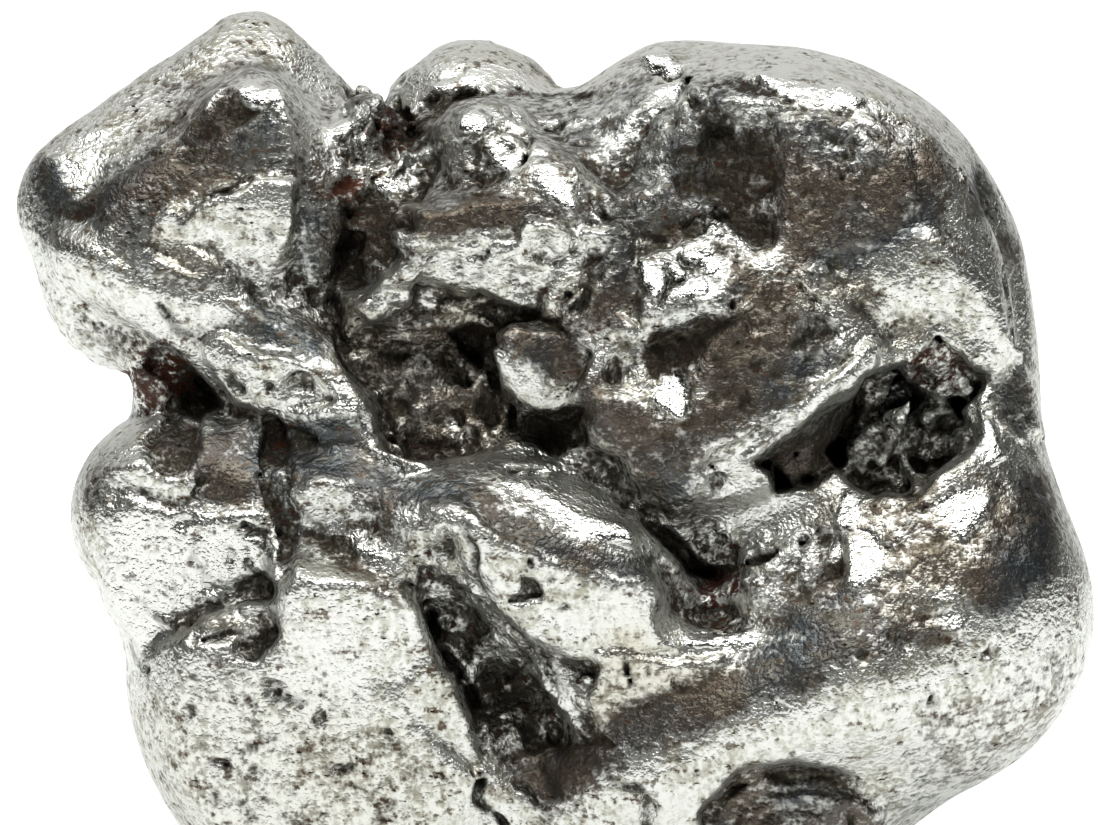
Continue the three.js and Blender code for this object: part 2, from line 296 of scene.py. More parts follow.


# One area of the front face inside an outline of x, y pairs. lean turns it up and to the right by
# degrees round its middle or at, sink lowers it, crags and sand roughen it, and soft is the width
# of its edge. The stains are tarnish, grit, rust, shine and warm; tarnish also paints shade and
# dark reflections, and grit paints shade in hollows.
def region(
    outline, lean=None, sink=0.0, soft=0.05, move=0.5, crags=0.0, sand=0.0, at=None, waver=0.15,
    **stains
):
    corners = np.array(outline, float).reshape(-1, 2)
    cx, cy = at or corners.mean(0)
    cz = skin(cx, cy)
    low, high = corners.min(0) - 0.6, corners.max(0) + 0.6
    spans, x, y, z = patchOf([*low, cz - 5], [*high, cz + 5])
    flat = spans[:2]
    level = int(np.clip((cz - axes[2][0]) / voxel, 0, counts[2] - 1))
    bentX, bentY = [waver * bend[flat][:, :, level] for bend in bends]
    away = depthInside(corners, x[:, :, 0] + bentX, y[:, :, 0] + bentY)
    share = np.clip(0.5 + away / (2 * soft), 0, 1)
    share = (share * share * (3 - 2 * share)).astype(np.float32)
    for kind, layer in paint.items():
        layer[flat] += share * (stains.get(kind, 0.0) - layer[flat])
    here = there = field[spans]
    if lean:
        nx, ny, nz = facing(lean)
        there = (x - cx) * nx + (y - cy) * ny + (z - cz) * nz
        there = here + move * np.tanh((there - here) / move)
    there = there + sink + crags * torn[spans] + sand * gritty[spans]
    field[spans] = here + share[:, :, None] * (there - here)


# A small bright face, leant back towards the lamps.
def gleam(outline, lean=(30, 0), soft=0.05, move=0.8, shine=1.0, **settings):
    region(outline, lean, soft=soft, move=move, shine=shine, **settings)


# A narrow band of the front face, laid piece by piece along a line of x, y pairs.
def streak(line, width, **settings):
    points = np.array(line, float).reshape(-1, 2)
    for p, q in zip(points[:-1], points[1:]):
        along = (q - p) / np.hypot(*(q - p))
        across = np.array((-along[1], along[0])) * width / 2
        p, q = p - along * width * 0.2, q + along * width * 0.2
        tip = q + along * width * 0.3
        region([p + across, q + across, tip, q - across, p - across], **settings)


# Places scattered over an oval, drawn one by one.
def scattered(dice, count, center, reach):
    for n in range(count):
        a, r = dice.uniform(0, 2 * math.pi), math.sqrt(dice.random())
        yield center[0] + reach[0] * r * math.cos(a), center[1] + reach[1] * r * math.sin(a)


def seeded(center, across, up):
    return random.Random(int(abs(center[0] * across + center[1] * up) * 100))


# Small bright five-sided faces scattered over an oval.
def chips(count, center, reach, sizes, rise=29, fifth=1.257):
    dice = seeded(center, 23, 41)
    for x, y in scattered(dice, count, center, reach):
        size, turn = dice.uniform(*sizes), dice.uniform(0, 2)
        corners = [turn + corner * fifth + dice.uniform(-0.3, 0.3) for corner in range(5)]
        outline = [
            (x + size * math.cos(c), y + size * dice.uniform(0.6, 1.1) * math.sin(c))
            for c in corners
        ]
        lean = (rise + dice.uniform(-4, 4), dice.uniform(-10, 10))
        gleam(outline, lean, sink=-size * 0.25)


# Small dark pits scattered over an oval.
def pores(count, center, reach, sizes):
    dice = seeded(center, 29, 37)
    for x, y in scattered(dice, count, center, reach):
        size = dice.uniform(*sizes)
        shape = (size * dice.uniform(1, 2.2), size, size)
        pit(x, y, shape, turn=(0, 0, dice.uniform(-90, 90)), blend=0.08, dark=0.9)


# Loose grains scattered over an oval.
def grains(count, center, reach, sizes):
    dice = seeded(center, 31, 17)
    for x, y in scattered(dice, count, center, reach):
        size = dice.uniform(*sizes)
        shape = (size * 1.2, size * 0.9, size)
        knob(x, y, shape, sink=size * 0.25, turn=(0, 0, dice.uniform(-90, 90)), blend=0.12)


# A thin torn plate that stands in a hollow, set on edge by its lean.
def flake(outline, lean, thick, lift=0.3):
    corners = np.array(outline, float).reshape(-1, 2)
    cx, cy = corners.mean(0)
    cz = skin(cx, cy) + lift
    low, high = corners.min(0) - 0.5, corners.max(0) + 0.5
    spans, x, y, z = patchOf([*low, cz - 3], [*high, cz + 2], 0.15)
    nx, ny, nz = facing(lean)
    level = (x - cx) * nx + (y - cy) * ny + (z - cz) * nz
    shape = np.maximum(-depthInside(corners, x, y), np.abs(level + 1.0) - 1.0 - thick)
    carve(spans, shape, False, 0.12, 0.05, 0.0)


# An average over a box of the grid, taken twice along each axis.
def blurred(values, radius):
    n = max(1, int(round(radius / voxel)))
    for turnRound in range(2):
        for axis in range(3):
            padded = np.concatenate(
                [np.repeat(np.take(values, [0], axis), n + 1, axis), values,
                 np.repeat(np.take(values, [-1], axis), n, axis)], axis)
            sums = np.cumsum(padded, axis=axis, dtype=np.float32)
            size = values.shape[axis]
            high = np.take(sums, range(2 * n + 1, 2 * n + 1 + size), axis)
            low = np.take(sums, range(0, size), axis)
            values = (high - low) / (2 * n + 1)
    return values


print("making the grain")
sizes = {"broad": 3.2, "middle": 1.5, "fine": 0.7, "dust": 0.38}  # mm from swell to swell
grain = {name: noiseOver(size, n + 1) for n, (name, size) in enumerate(sizes.items())}
bends = [noiseOver(1.3, n) + 0.4 * noiseOver(0.5, n + 2) for n in (5, 6)]
folds = {name: np.minimum(np.abs(values), 1.6) for name, values in grain.items()}
torn = 1.3 * folds["middle"] + 0.7 * folds["fine"] + 0.25 * folds["dust"] - 1.4
gritty = 0.7 * folds["fine"] + 0.9 * folds["dust"] - 1.1
# painted shade in the cracks and pits, which the finish darkens
cutShade = np.zeros_like(field)
# grit marks rough torn ground and also paints shade into the hollows
stainKinds = ("grit", "tarnish", "rust", "shine", "warm")
paint = {kind: np.zeros(tuple(counts[:2]), np.float32) for kind in stainKinds}

print("shaping the surface")
field += sum(depth * grain[name] for name, depth in lump["swell"].items())

# Head: dark brow under its lip, the light broken facet with its slot, snout, cheek and jaw
print("shaping the head")
region((
    -17.2, 14.8, -14.4, 16.6, -12, 17.6, -10.6, 16.4, -10, 14, -12, 15.4, -13.1, 15.1, -14, 13.8,
    -15.6, 12.7, -17.6, 12.4
), soft=0.4, tarnish=0.38)
region((
    -13, 15.1, -12, 15.4, -11.2, 15, -10.6, 13.8, -10.2, 12.4, -10.1, 11.2, -10.2, 9.5, -10.7, 8.3,
    -11.5, 7.1, -13.4, 7, -16, 7.9, -17.5, 9.2, -18.1, 10.6, -17.6, 11.9, -15.4, 12.5, -14.4, 13.2,
    -13.8, 14.3
), lean=(4, -4), soft=0.4, tarnish=0.7, warm=0.4)
region((
    -12.8, 15.2, -12.2, 14.9, -11.8, 14.2, -12.2, 13.8, -12.9, 13.4, -13.5, 12.6, -14.1, 12.1,
    -15, 12.2, -14.4, 13.1, -13.7, 14.2
), sink=0.3, soft=0.1, tarnish=1, grit=1)
region((
    -17.6, 12, -15.4, 12.5, -14.9, 12.2, -15.9, 11.5, -16.9, 10.9, -17.8, 11
), soft=0.25, tarnish=1, grit=0.5, warm=-0.5)
region((
    -16.9, 10.5, -16, 11, -15.7, 10.2, -16, 9.3, -15.6, 8.3, -16.4, 8.3, -17, 9.2
), soft=0.25, tarnish=0.6, warm=-1)
region((
    -12.4, 13.6, -11.52, 13.92, -10.64, 13.2, -10.32, 12, -11.52, 11.52, -12.4, 11.92
), soft=0.25, tarnish=0.6, warm=-1)
region((
    -15.8, 10.2, -14.8, 10.4, -12.9, 10.6, -11.5, 11.4, -10.2, 11.6, -10, 10.6, -10.1, 9.8,
    -10.7, 8.6, -11.3, 7.4, -12.1, 7.2, -12.9, 7.8, -13.7, 8.6, -15, 9.3, -15.8, 9.6
), lean=(-27, -4), sink=-0.15, soft=0.07, crags=0.02, sand=0.02)
region((
    -15.92, 9.44, -15.36, 9.76, -14.8, 9.36, -13.76, 8.48, -13.44, 7.84, -14.24, 7.84, -15.28, 8.48,
    -15.84, 8.96
), lean=(-10, -16), sink=0.1, soft=0.08, move=0.4, tarnish=0.3, warm=1)
streak((-16.96, 9.04, -16, 8, -14.4, 7.36, -12.96, 6.96), 0.3, soft=0.12, tarnish=0.8, warm=0.6)
region((
    -13.44, 7.76, -12.4, 7.28, -11.52, 7.12, -11.2, 6.72, -12.4, 6.88, -13.4, 7.2
), soft=0.12, tarnish=0.8, grit=0.3)
region((
    -14.96, 10.48, -13.84, 10.96, -12.72, 11.28, -12.64, 11.12, -13.68, 10.56, -14.56, 10.08
), lean=(-26, -4), sink=-0.12)
crack((-14.48, 9.96, 0.14, 0.08, -13.68, 10.36, 0.18, 0.12, -12.8, 10.92, 0.14, 0.08))
streak((-12.8, 10.96, -12.32, 11.6, -11.84, 12.08, -11.44, 12.48), 0.16, lean=(-22, 10), move=0.3)
ridge((
    -12.96, 15.12, 0.16, 0.12, -13.6, 14.32, 0.18, 0.12, -14.32, 13.2, 0.18, 0.1,
    -15.4, 12.56, 0.14, 0.08, -17.52, 12.08, 0.12, 0.08
), blend=0.3)
pores(26, (-13.8, 10.6), (2.4, 1.6), (0.04, 0.08))
pores(30, (-16, 15), (2.8, 1.8), (0.03, 0.06))
pores(24, (-17.6, 6), (1.8, 1.2), (0.05, 0.1))
region((
    -20.7, 11.6, -20.1, 12.4, -19.6, 12.6, -19.3, 11.2, -18.6, 10.8, -17.8, 10.6, -17.8, 9.8,
    -18.6, 9.7, -19.6, 10.2, -20.1, 9.3, -20.8, 9.9
), lean=(4, -38), soft=0.2, move=0.35, tarnish=1, grit=0.8, warm=-0.3)
streak((
    -20.56, 10.96, -20.32, 10.56, -20.32, 9.92, -20, 9.44
), 0.2, lean=(-20, -38), soft=0.08, move=0.3)
gleam((
    -19.6, 12.72, -19.36, 12.8, -19.04, 12.24, -18.64, 11.76, -18.72, 11.2, -19.04, 11.2,
    -19.36, 11.6
), (29, -26), soft=0.06, move=0.6)
gleam((
    -19.28, 12.96, -18.8, 13.36, -18.32, 13.68, -17.76, 13.76, -17.6, 13.6, -18.16, 13.28,
    -18.72, 12.96, -19.12, 12.72
), (29, -24), soft=0.06, move=0.6)
gleam((
    -12.48, 14.96, -12.16, 15.28, -11.68, 15.32, -11.36, 15.04, -11.2, 14.48, -11.28, 14.24,
    -11.76, 14.4, -12.24, 14.64
), (29, 2), soft=0.07)
streak((-11.36, 14.48, -11.12, 14.08, -11.04, 13.6), 0.16, lean=(29, -6), soft=0.04, shine=0.7)
ridge((-11.2, 14.96, 0.14, 0.08, -10.72, 13.68, 0.14, 0.08, -10.32, 12.56, 0.12, 0.08), blend=0.2)
region((
    -10.3, 12.2, -9.3, 12.9, -8.3, 11.6, -8.2, 7.6, -9.2, 6.8, -10.3, 6.8, -10.8, 7.6, -10, 9.8
), soft=0.3, tarnish=0.75, grit=0.2, warm=-0.2)
region((
    -9.12, 12.08, -8.4, 11.92, -8.24, 10.8, -8.96, 10.2, -9.52, 10.6
), soft=0.2, tarnish=0.45, warm=0.4)
region((
    -19.9, 9.5, -17.6, 9, -16, 7.6, -12.9, 6.7, -10, 4.8, -8.6, 3.4, -8.7, 2.6, -10, 2.2,
    -11.5, 2.1, -12.7, 2.4, -13.7, 3.9, -15.2, 5, -16.8, 5.9, -18.2, 7, -19.6, 7.4, -20.2, 8.6
), lean=(-27, -10), soft=0.7)
region((
    -19.5, 7, -18, 6.8, -16.4, 5.7, -15.9, 4.8, -16.9, 4.1, -18.2, 4.2, -19.1, 5.4
), lean=(-16, -30), soft=0.3, move=0.3, crags=0.04, sand=0.03, tarnish=0.2)
region((
    -17.52, 5.6, -16.4, 5.6, -15.92, 4.8, -16.8, 4.24, -17.52, 4.72
), soft=0.2, tarnish=0.8, grit=0.5, warm=0.6)
region((
    -12.1, 4.6, -11.8, 5.5, -12.2, 6.3, -11.5, 6.6, -10.3, 6.7, -9.5, 6.5, -9, 5.5, -8.2, 4.2,
    -9.2, 3.9, -10.4, 4.4, -11.3, 4.4
), soft=0.25, tarnish=0.75, warm=-1)
region((
    -12.72, 6.08, -11.92, 5.92, -11.76, 5.2, -12.08, 4.48, -12.56, 4.72
), soft=0.14, crags=0.05, tarnish=0.4)
chips(3, (-10, 6.8), (0.72, 0.24), (0.12, 0.24))
region((
    -11.5, 7.8, -10.2, 8, -9.3, 8.3, -8, 7.9, -8.2, 5.2, -8.8, 5, -9.3, 6.1, -10, 6.7, -11.3, 6.8
), soft=0.15, crags=0.08, sand=0.05, tarnish=0.5, grit=0.5)
region((-11.28, 7.6, -10.8, 7.92, -10.4, 7.44, -10.96, 6.96), lean=(-20, 0), soft=0.06, crags=0.05)
region((-9.8, 7.4, -8.8, 7.6, -8.6, 6.8, -9.36, 6.56), lean=(-20, 0), soft=0.08, crags=0.08)
region((
    -14, 5, -12.7, 5.2, -11.5, 4.3, -10.4, 4.3, -9.1, 3.7, -8.3, 2.8, -8.7, 2.4, -11.5, 2.1,
    -13.1, 3.1
), lean=(-27, -6), soft=0.15, move=0.7, crags=0.04, sand=0.04)
crack((
    -15.76, 6.56, 0.06, 0.02, -15.44, 6.2, 0.09, 0.05, -14.88, 5.8, 0.12, 0.07,
    -14.4, 5.52, 0.12, 0.05
), waver=0.15)
streak((-14.72, 16.8, -14, 16.88, -13, 17.28, -12, 17.44), 0.3, soft=0.12, tarnish=0.6, warm=-0.6)
streak((-13.6, 16.16, -13.12, 16.32, -12.64, 16.64), 0.25, soft=0.1, tarnish=0.4, warm=0.8)
streak((-14.88, 13.28, -14.32, 13.6, -14, 14), 0.35, soft=0.15, tarnish=0.6)
streak((-16, 14.08, -14.8, 14.48, -13.8, 14.72), 0.3, soft=0.15, tarnish=0.35, warm=0.5)
crack((
    -10.64, 18, 0.08, 0, -10.08, 17.36, 0.1, 0, -9.36, 16.56, 0.12, 0, -8.64, 15.84, 0.12, 0,
    -8.2, 15.6, 0.1, 0
), dark=0.6)
crack((
    -9.92, 16.4, 0.1, 0, -9.52, 16.08, 0.14, 0.02, -9, 15.76, 0.14, 0.02, -8.6, 15.6, 0.1, 0
), dark=0.7)
crack((-10, 17.44, 0.06, 0, -9.12, 16.64, 0.08, 0, -8.2, 15.68, 0.08, 0), dark=0.5)
for line in (
    (-16, 5.28, 0.14, 0, -15, 4.88, 0.2, 0.1, -14, 3.68, 0.22, 0.1, -13.12, 2.32, 0.2, 0.1),
    (-12.4, 7.28, 0.12, 0.04, -11.68, 6.8, 0.16, 0.06, -11.2, 6.4, 0.12, 0.04),
    (
        -8.2, 10.4, 0.1, 0.02, -8.4, 9.4, 0.14, 0.04, -7.92, 8.48, 0.14, 0.05,
        -8.4, 7.6, 0.14, 0.05, -8.48, 6.8, 0.12, 0.04
    ),
    (-8.48, 6.08, 0.14, 0.05, -8.16, 5.12, 0.18, 0.1, -7.92, 3.92, 0.16, 0.08),
):
    crack(line)
pit(-12.56, 3.12, (0.5, 0.4, 0.3), dark=0.7)
pit(-10.96, 3.04, (0.35, 0.3, 0.25), dark=0.6)
pit(-9.52, 3.12, (0.55, 0.4, 0.3), dark=0.6)
pit(-10.16, 2.88, (0.25, 0.2, 0.2), dark=0.7)
pit(-12.2, 4.72, (0.3, 0.3, 0.2), dark=0.5)
specks((
    -19.2, 6.8, 0.1, -18.72, 6.24, 0.14, -18.2, 6.08, 0.12, -18.48, 5.36, 0.16, -18.08, 4.96, 0.12,
    -17.84, 6, 0.1, -18.88, 5.76, 0.1, -17.52, 5.2, 0.14, -19.36, 6.32, 0.1, -17.68, 4.4, 0.12,
    -13.6, 4.72, 0.1, -13.8, 4.56, 0.08, -12.6, 9.76, 0.1, -11.12, 9.36, 0.12, -11.92, 8.32, 0.1,
    -13.4, 8.88, 0.1, -11.52, 8, 0.12, -12.08, 9.2, 0.08, -10.72, 10.56, 0.1, -11.68, 16.72, 0.1,
    -12.4, 10.48, 0.08
), dark=0.9)

# Valley: granular wall with bright grains, purple hollow, rust and the black bottom
print("shaping the valley")
region((
    -8.8, 15, -7.3, 15.4, -6.5, 14.8, -6.4, 13.6, -6.6, 12.8, -7.7, 12.2, -8.5, 12.5
), soft=0.15, crags=0.1, tarnish=0.95, grit=0.6)
region((
    -6.6, 14.96, -5.92, 14.88, -5.2, 14, -5.52, 12.6, -6.48, 12.4, -6.88, 13.52
), sink=0.12, soft=0.12, crags=0.16, tarnish=0.9, grit=0.6, rust=0.75)
region((
    -8.2, 10.8, -6.9, 11, -5.9, 10.3, -5.6, 9.2, -6.3, 7.9, -8, 7.4, -8.6, 8.2, -8.3, 9.6
), sink=0.3, soft=0.25, crags=0.3, tarnish=0.9, grit=1)
gleam((-8.72, 14.8, -8.4, 14.96, -8, 14.64, -8, 14.24, -8.32, 14.08, -8.56, 14.4), sink=-0.1)
gleam((-8.8, 14, -8.4, 14.08, -8.24, 13.76, -8.48, 13.52, -8.72, 13.68), sink=-0.1)
gleam((
    -8.16, 14, -7.84, 14.16, -7.68, 13.6, -7.36, 13.12, -7.6, 12.96, -8, 13.36
), (30, -4), sink=-0.1)
gleam((-7.52, 13.92, -7.2, 13.84, -7.12, 13.44, -7.36, 13.2, -7.6, 13.52), (30, 4), sink=-0.12)
gleam((
    -8.72, 12.16, -8.32, 12.56, -8.16, 12.4, -8.32, 11.92, -8.64, 11.76
), (28, -8), move=0.6, shine=0.9)
chips(30, (-7.68, 13.84), (1.12, 1.44), (0.09, 0.24))
grains(14, (-7.6, 13.76), (0.96, 1.44), (0.14, 0.28))
pores(22, (-7.6, 13.84), (1.04, 1.36), (0.08, 0.18))
grains(12, (-6.08, 13.68), (0.64, 1.04), (0.14, 0.26))
pores(16, (-6.08, 13.68), (0.64, 1.12), (0.08, 0.16))
region((
    -8.16, 11.92, -7.52, 12.24, -6.96, 12, -6.96, 11.44, -7.36, 11.12, -7.92, 11.2
), lean=(2, 0), soft=0.25, waver=0.5, tarnish=0.9, rust=1.6)
region((
    -7, 11.6, -6, 12, -4.4, 12.8, -4.2, 12.2, -4.8, 11.1, -5.2, 10.5, -6.2, 10.7, -6.9, 11.1
), lean=(12, -4), soft=0.12, crags=0.08, tarnish=0.25, grit=0.2)
gleam((
    -6.72, 11.44, -6, 11.68, -5.36, 11.84, -5.52, 11.28, -6.16, 11.04, -6.64, 11.12
), (29, -4), soft=0.06, move=0.6, crags=0.03, shine=0.9)
chips(12, (-5.52, 11.44), (1.2, 0.72), (0.1, 0.22))
grains(10, (-5.2, 11.68), (1.12, 0.72), (0.12, 0.24))
pores(16, (-5.4, 11.52), (1.2, 0.72), (0.06, 0.12))
crack((-8.4, 10.8, 0.14, 0.08, -8, 9.8, 0.2, 0.12, -8.16, 8.32, 0.2, 0.12))
chips(5, (-7.92, 9.2), (0.4, 1.6), (0.1, 0.18))

# Crown: knobs with bright tops, torn ground between them, dark band under them
print("shaping the crown")
region((
    -6.2, 14.8, -4.8, 15.4, -1.2, 15.6, 2, 15.1, 3.6, 16.4, 5.6, 16.4, 5.6, 13.2, 5, 11.2,
    3.6, 10.6, 2, 10.8, 0.4, 10.2, -4.4, 10.2, -6, 10.8, -5.2, 12.8
), soft=0.4, tarnish=0.45, grit=0.2)
region((
    -6.2, 14.6, -4.8, 15, -3, 15.4, -2.6, 15, -3.6, 14.6, -4.4, 14.1, -5, 12.8, -5.7, 12.8,
    -5.8, 14
), sink=0.05, soft=0.12, crags=0.1, tarnish=0.9, grit=1)
gleam((
    -4.88, 15.36, -4.48, 15.68, -3.6, 15.76, -3.04, 15.84, -3.04, 15.6, -3.76, 15.28, -4.48, 15.12
), soft=0.06)
gleam((
    -4.64, 16, -4.16, 16.32, -3.68, 16.4, -3.76, 16.16, -4.24, 16, -4.56, 15.92
), soft=0.08, move=0.5, shine=0.7)
region((
    -4.4, 12.4, -4.5, 13.7, -3.8, 14.5, -2.6, 14.7, -1.2, 14.4, -1, 12.2, -2, 11.3, -3.6, 11.3
), lean=(8, 0), soft=0.2, move=0.4, crags=0.03, tarnish=0.45, grit=0.1)
ridge((
    -4.28, 12.48, 0.12, 0.05, -4.24, 13.6, 0.14, 0.06, -3.76, 14.4, 0.14, 0.06,
    -2.6, 14.68, 0.12, 0.05, -1.52, 14.32, 0.1, 0.05
), blend=0.2)
knob(-2.92, 13.56, (0.85, 0.8, 0.8), sink=0.3, blend=0.3)
knob(-1.88, 12.48, (0.8, 0.8, 0.75), sink=0.3, blend=0.25)
gleam((
    -3.52, 13.84, -3.04, 14.16, -2.48, 14.08, -2.28, 13.52, -2.64, 13.12, -3.36, 13.2
), (30, 2), soft=0.07)
gleam((
    -2.56, 12.88, -2.08, 13.08, -1.52, 12.8, -1.28, 12.24, -1.6, 11.84, -2.24, 12.08
), (30, 4), soft=0.07)
gleam((
    -1.8, 14.56, -1.52, 14.6, -1.04, 14.32, -0.8, 13.84, -1.04, 13.76, -1.44, 14.08
), (30, 2), move=0.6)
gleam((
    -0.64, 14.08, 0.08, 14.24, 0.64, 13.84, 0.08, 13.68, -0.4, 13.76
), (28, 2), soft=0.06, move=0.5, crags=0.02, shine=0.8)
gleam((
    -1.04, 12.96, -0.56, 13.12, 0, 12.64, -0.4, 12.48, -0.88, 12.64
), (26, 2), soft=0.08, move=0.4, crags=0.02, shine=0.5)
gleam((
    -0.88, 11.68, -0.32, 11.92, 0.24, 11.68, 0.64, 11.12, 0.96, 10.56, 0.72, 10.32, 0.08, 10.64,
    -0.72, 11.2
), (30, 6), soft=0.07)
region((
    0.4, 14.3, 3.6, 15, 4.7, 14.4, 4.9, 11.6, 3.6, 10.8, 2, 11.1, 1, 12.2
), lean=(12, 4), soft=0.35, move=0.3, sand=0.05, tarnish=0.48, warm=-0.2)
chips(16, (1.6, 14.08), (2, 0.64), (0.07, 0.16))
pores(50, (2, 13.2), (2.4, 1.76), (0.06, 0.12))
pores(30, (-2.8, 12), (1.76, 1.2), (0.06, 0.12))
pores(16, (-2.8, 15.12), (2.4, 0.4), (0.08, 0.16))
chips(16, (2.8, 12.8), (1.76, 1.36), (0.05, 0.11))
chips(10, (-2.8, 11.76), (1.36, 0.56), (0.07, 0.14))
grains(12, (-3.2, 11.68), (1.6, 0.64), (0.1, 0.2))
grains(14, (2, 13.6), (2.2, 1.04), (0.08, 0.16))
gleam((
    3.6, 16.16, 4.08, 16.48, 4.72, 16.56, 5.36, 16, 5.28, 15.68, 4.72, 15.52, 4, 15.68
), soft=0.06, crags=0.02)
gleam((
    3.6, 15.36, 4.24, 15.44, 4.96, 15.28, 4.96, 14.64, 4.56, 14.4, 4, 14.64
), soft=0.08, crags=0.03)
streak((4.24, 14.4, 4.48, 14, 4.56, 13.44), 0.3, lean=(26, 0), soft=0.08, crags=0.04, shine=0.5)
for line in (
    (3.76, 15.6, 0.06, 0.01, 4.4, 15.76, 0.1, 0.03, 5.36, 15.52, 0.08, 0.02),
    (-1.04, 13.52, 0.08, 0, -1.04, 12.88, 0.12, 0.02, -1.36, 12.16, 0.1, 0),
    (-1.2, 15.04, 0.06, 0, -0.08, 15.04, 0.09, 0.02, 1.2, 15.12, 0.1, 0.02, 2, 15.12, 0.06, 0),
    (5.36, 15.84, 0.12, 0, 5.2, 15.2, 0.14, 0.04, 5.28, 14.32, 0.14, 0.04),
):
    crack(line)
region((
    -5.9, 10.6, -4.4, 10.2, -2, 10.9, -0.8, 10.9, 0.4, 10.3, 1.3, 10.2, 0.5, 9.7, -1.2, 9.9,
    -2.4, 9.4, -4, 9.2, -5.5, 9.6
), lean=(3, 0), soft=0.2, tarnish=1, grit=0.15, warm=0.4)

# Plate under the knobs, flaked along its lower edge, and the split below it
print("shaping the plate")
region((
    1.4, 9.7, 2.6, 9.7, 3.7, 8.8, 3.7, 5.6, 2.5, 4.8, 1.8, 2.5, 0.9, 3, 1.4, 5, 1.7, 6.8
), lean=(2, 4), soft=0.2, move=4, at=(3.12, 7.2), tarnish=0.7)
region((
    -8.2, 7.1, -6, 7.3, -3.2, 7.4, 0.4, 6.1, 2.2, 5.8, 2, 5, -2, 5, -6, 5, -8, 5
), lean=(10, 0), sink=-1.1, soft=0.35, move=3, crags=0.08, at=(-4.8, 5.4), tarnish=0.75,
    grit=0.15, warm=0.5)
region((
    0.1, 6.1, 1.6, 7.6, 2.2, 8.3, 3.6, 8, 3.8, 5, 2.2, 4.6, 0.5, 5
), lean=(2, 4), soft=0.15, move=4, crags=0.05, sand=0.03, at=(3.12, 6.8), tarnish=0.85, warm=0.5)
region((
    -6, 9.5, -4, 9.1, -2.2, 9.4, -1.2, 10.2, 0.4, 9.8, 1.7, 9.5, 2.5, 8.3, 2, 7.2, 0.4, 5.9,
    -1.2, 6.2, -2.8, 6.8, -3.3, 7.3, -4.4, 7.4, -5.6, 6.8, -6.2, 6.3, -7.3, 6.6, -6.1, 7.4, -5.2, 8,
    -5.8, 8.6
), lean=(-25, -2), sink=-0.05, soft=0.07, move=1.2, crags=0.14, sand=0.06, waver=0.3)
region((
    -2, 9.8, -1.2, 9.92, -0.08, 8.96, -0.4, 8.48, -1.52, 8.88
), lean=(-34, 10), soft=0.12, move=0.25, crags=0.05)
region((
    -0.08, 9.28, 1, 9.52, 2, 8.8, 2.2, 8, 1.2, 8.08, 0.24, 8.6
), lean=(-16, 14), soft=0.12, move=0.25, crags=0.05)
knob(0.64, 6.96, (0.8, 0.6, 0.5), sink=0.3, blend=0.4)
region((
    0.24, 7.52, 2, 7.92, 2.32, 7.4, 1, 6, -0.2, 6.08, 0, 6.8
), lean=(-14, 6), sink=0.08, soft=0.12, move=0.3, crags=0.12, tarnish=0.25, grit=0.25, warm=0.5)
for line in (
    (-2.56, 8.32, 0.09, 0.04, -2.4, 8.96, 0.09, 0.04, -1.76, 9.6, 0.09, 0.04),
    (-0.4, 8.8, 0.09, 0.04, 0.24, 8.48, 0.09, 0.04, 1.2, 8.64, 0.09, 0.04),
    (-4.08, 8.32, 0.09, 0.04, -3.52, 8, 0.09, 0.04, -2.88, 8.32, 0.09, 0.04),
    (-1.2, 7.6, 0.09, 0.04, -0.64, 7.2, 0.09, 0.04, 0, 7.36, 0.09, 0.04),
    (0.4, 6.96, 0.09, 0.04, 0.96, 7.2, 0.09, 0.04, 1.6, 7.12, 0.09, 0.04),
):
    crack(line, blend=0.25, dark=0.5)
region((
    -4.4, 7.1, -3.4, 7.2, -2, 6.6, -0.2, 5.9, 0.1, 5.3, -1.2, 5.5, -2.4, 5.4, -3.5, 5.3, -4.1, 6.1
), sink=0.08, soft=0.15, crags=0.12, tarnish=0.4, grit=0.4, warm=0.7)
region((
    -5.68, 8.88, -5.04, 8.8, -4.72, 8.32, -4.88, 7.92, -5.44, 8.08
), sink=0.15, soft=0.14, crags=0.1, tarnish=0.9, grit=0.9)
ridge((
    -5.76, 8.8, 0.1, 0.05, -5.2, 8.96, 0.1, 0.05, -4.72, 8.56, 0.1, 0.05, -4.8, 7.92, 0.08, 0.04
), blend=0.15)
pit(0.08, 9.36, (0.25, 0.2, 0.15), dark=0.5, blend=0.3)
pit(0.2, 8.48, (0.3, 0.2, 0.2), dark=0.7, blend=0.3)
pit(-1.56, 9.68, (0.3, 0.4, 0.2), dark=0.3, blend=0.3)
region((
    -5.52, 7.28, -4, 7.36, -3.84, 6.32, -4.88, 6.08
), lean=(-14, -4), sink=0.05, soft=0.1, move=0.4, crags=0.08)
crack((
    -5.44, 7.28, 0.1, 0.05, -5.2, 6.64, 0.14, 0.08, -4.56, 6.08, 0.14, 0.08, -3.92, 6.32, 0.1, 0.05,
    -3.76, 6.88, 0.08, 0.03
))
gleam((-4.96, 6.8, -4.16, 6.88, -4.24, 6.48, -4.8, 6.48), (26, 0), soft=0.06, move=0.3, shine=0.4)
pores(18, (-1.2, 8.32), (3.2, 1.44), (0.04, 0.09))
region((0.4, 5.8, 2.2, 5.6, 3.6, 6.8, 3.4, 5.2, 2, 4.7, 0.9, 5), soft=0.15, tarnish=0.9, warm=0.8)
crack((
    2.32, 7.84, 0.1, 0.05, 1.68, 7.12, 0.13, 0.1, 1.12, 6.48, 0.14, 0.1, 0.48, 5.92, 0.12, 0.08,
    -0.2, 6.08, 0.1, 0.06, -1.2, 6.16, 0.1, 0.06, -2, 6.16, 0.08, 0.04
))
streak((-7.92, 5.28, -7.36, 6, -6.6, 6.64), 0.16, lean=(-24, 0), move=0.4)
streak((-7.52, 5.04, -6.8, 5.84, -5.8, 6.16), 0.16, lean=(-20, 0), move=0.4)
crack((-8.16, 5.4, 0.1, 0.04, -7.92, 4.48, 0.14, 0.08, -7.36, 3.52, 0.12, 0.06))
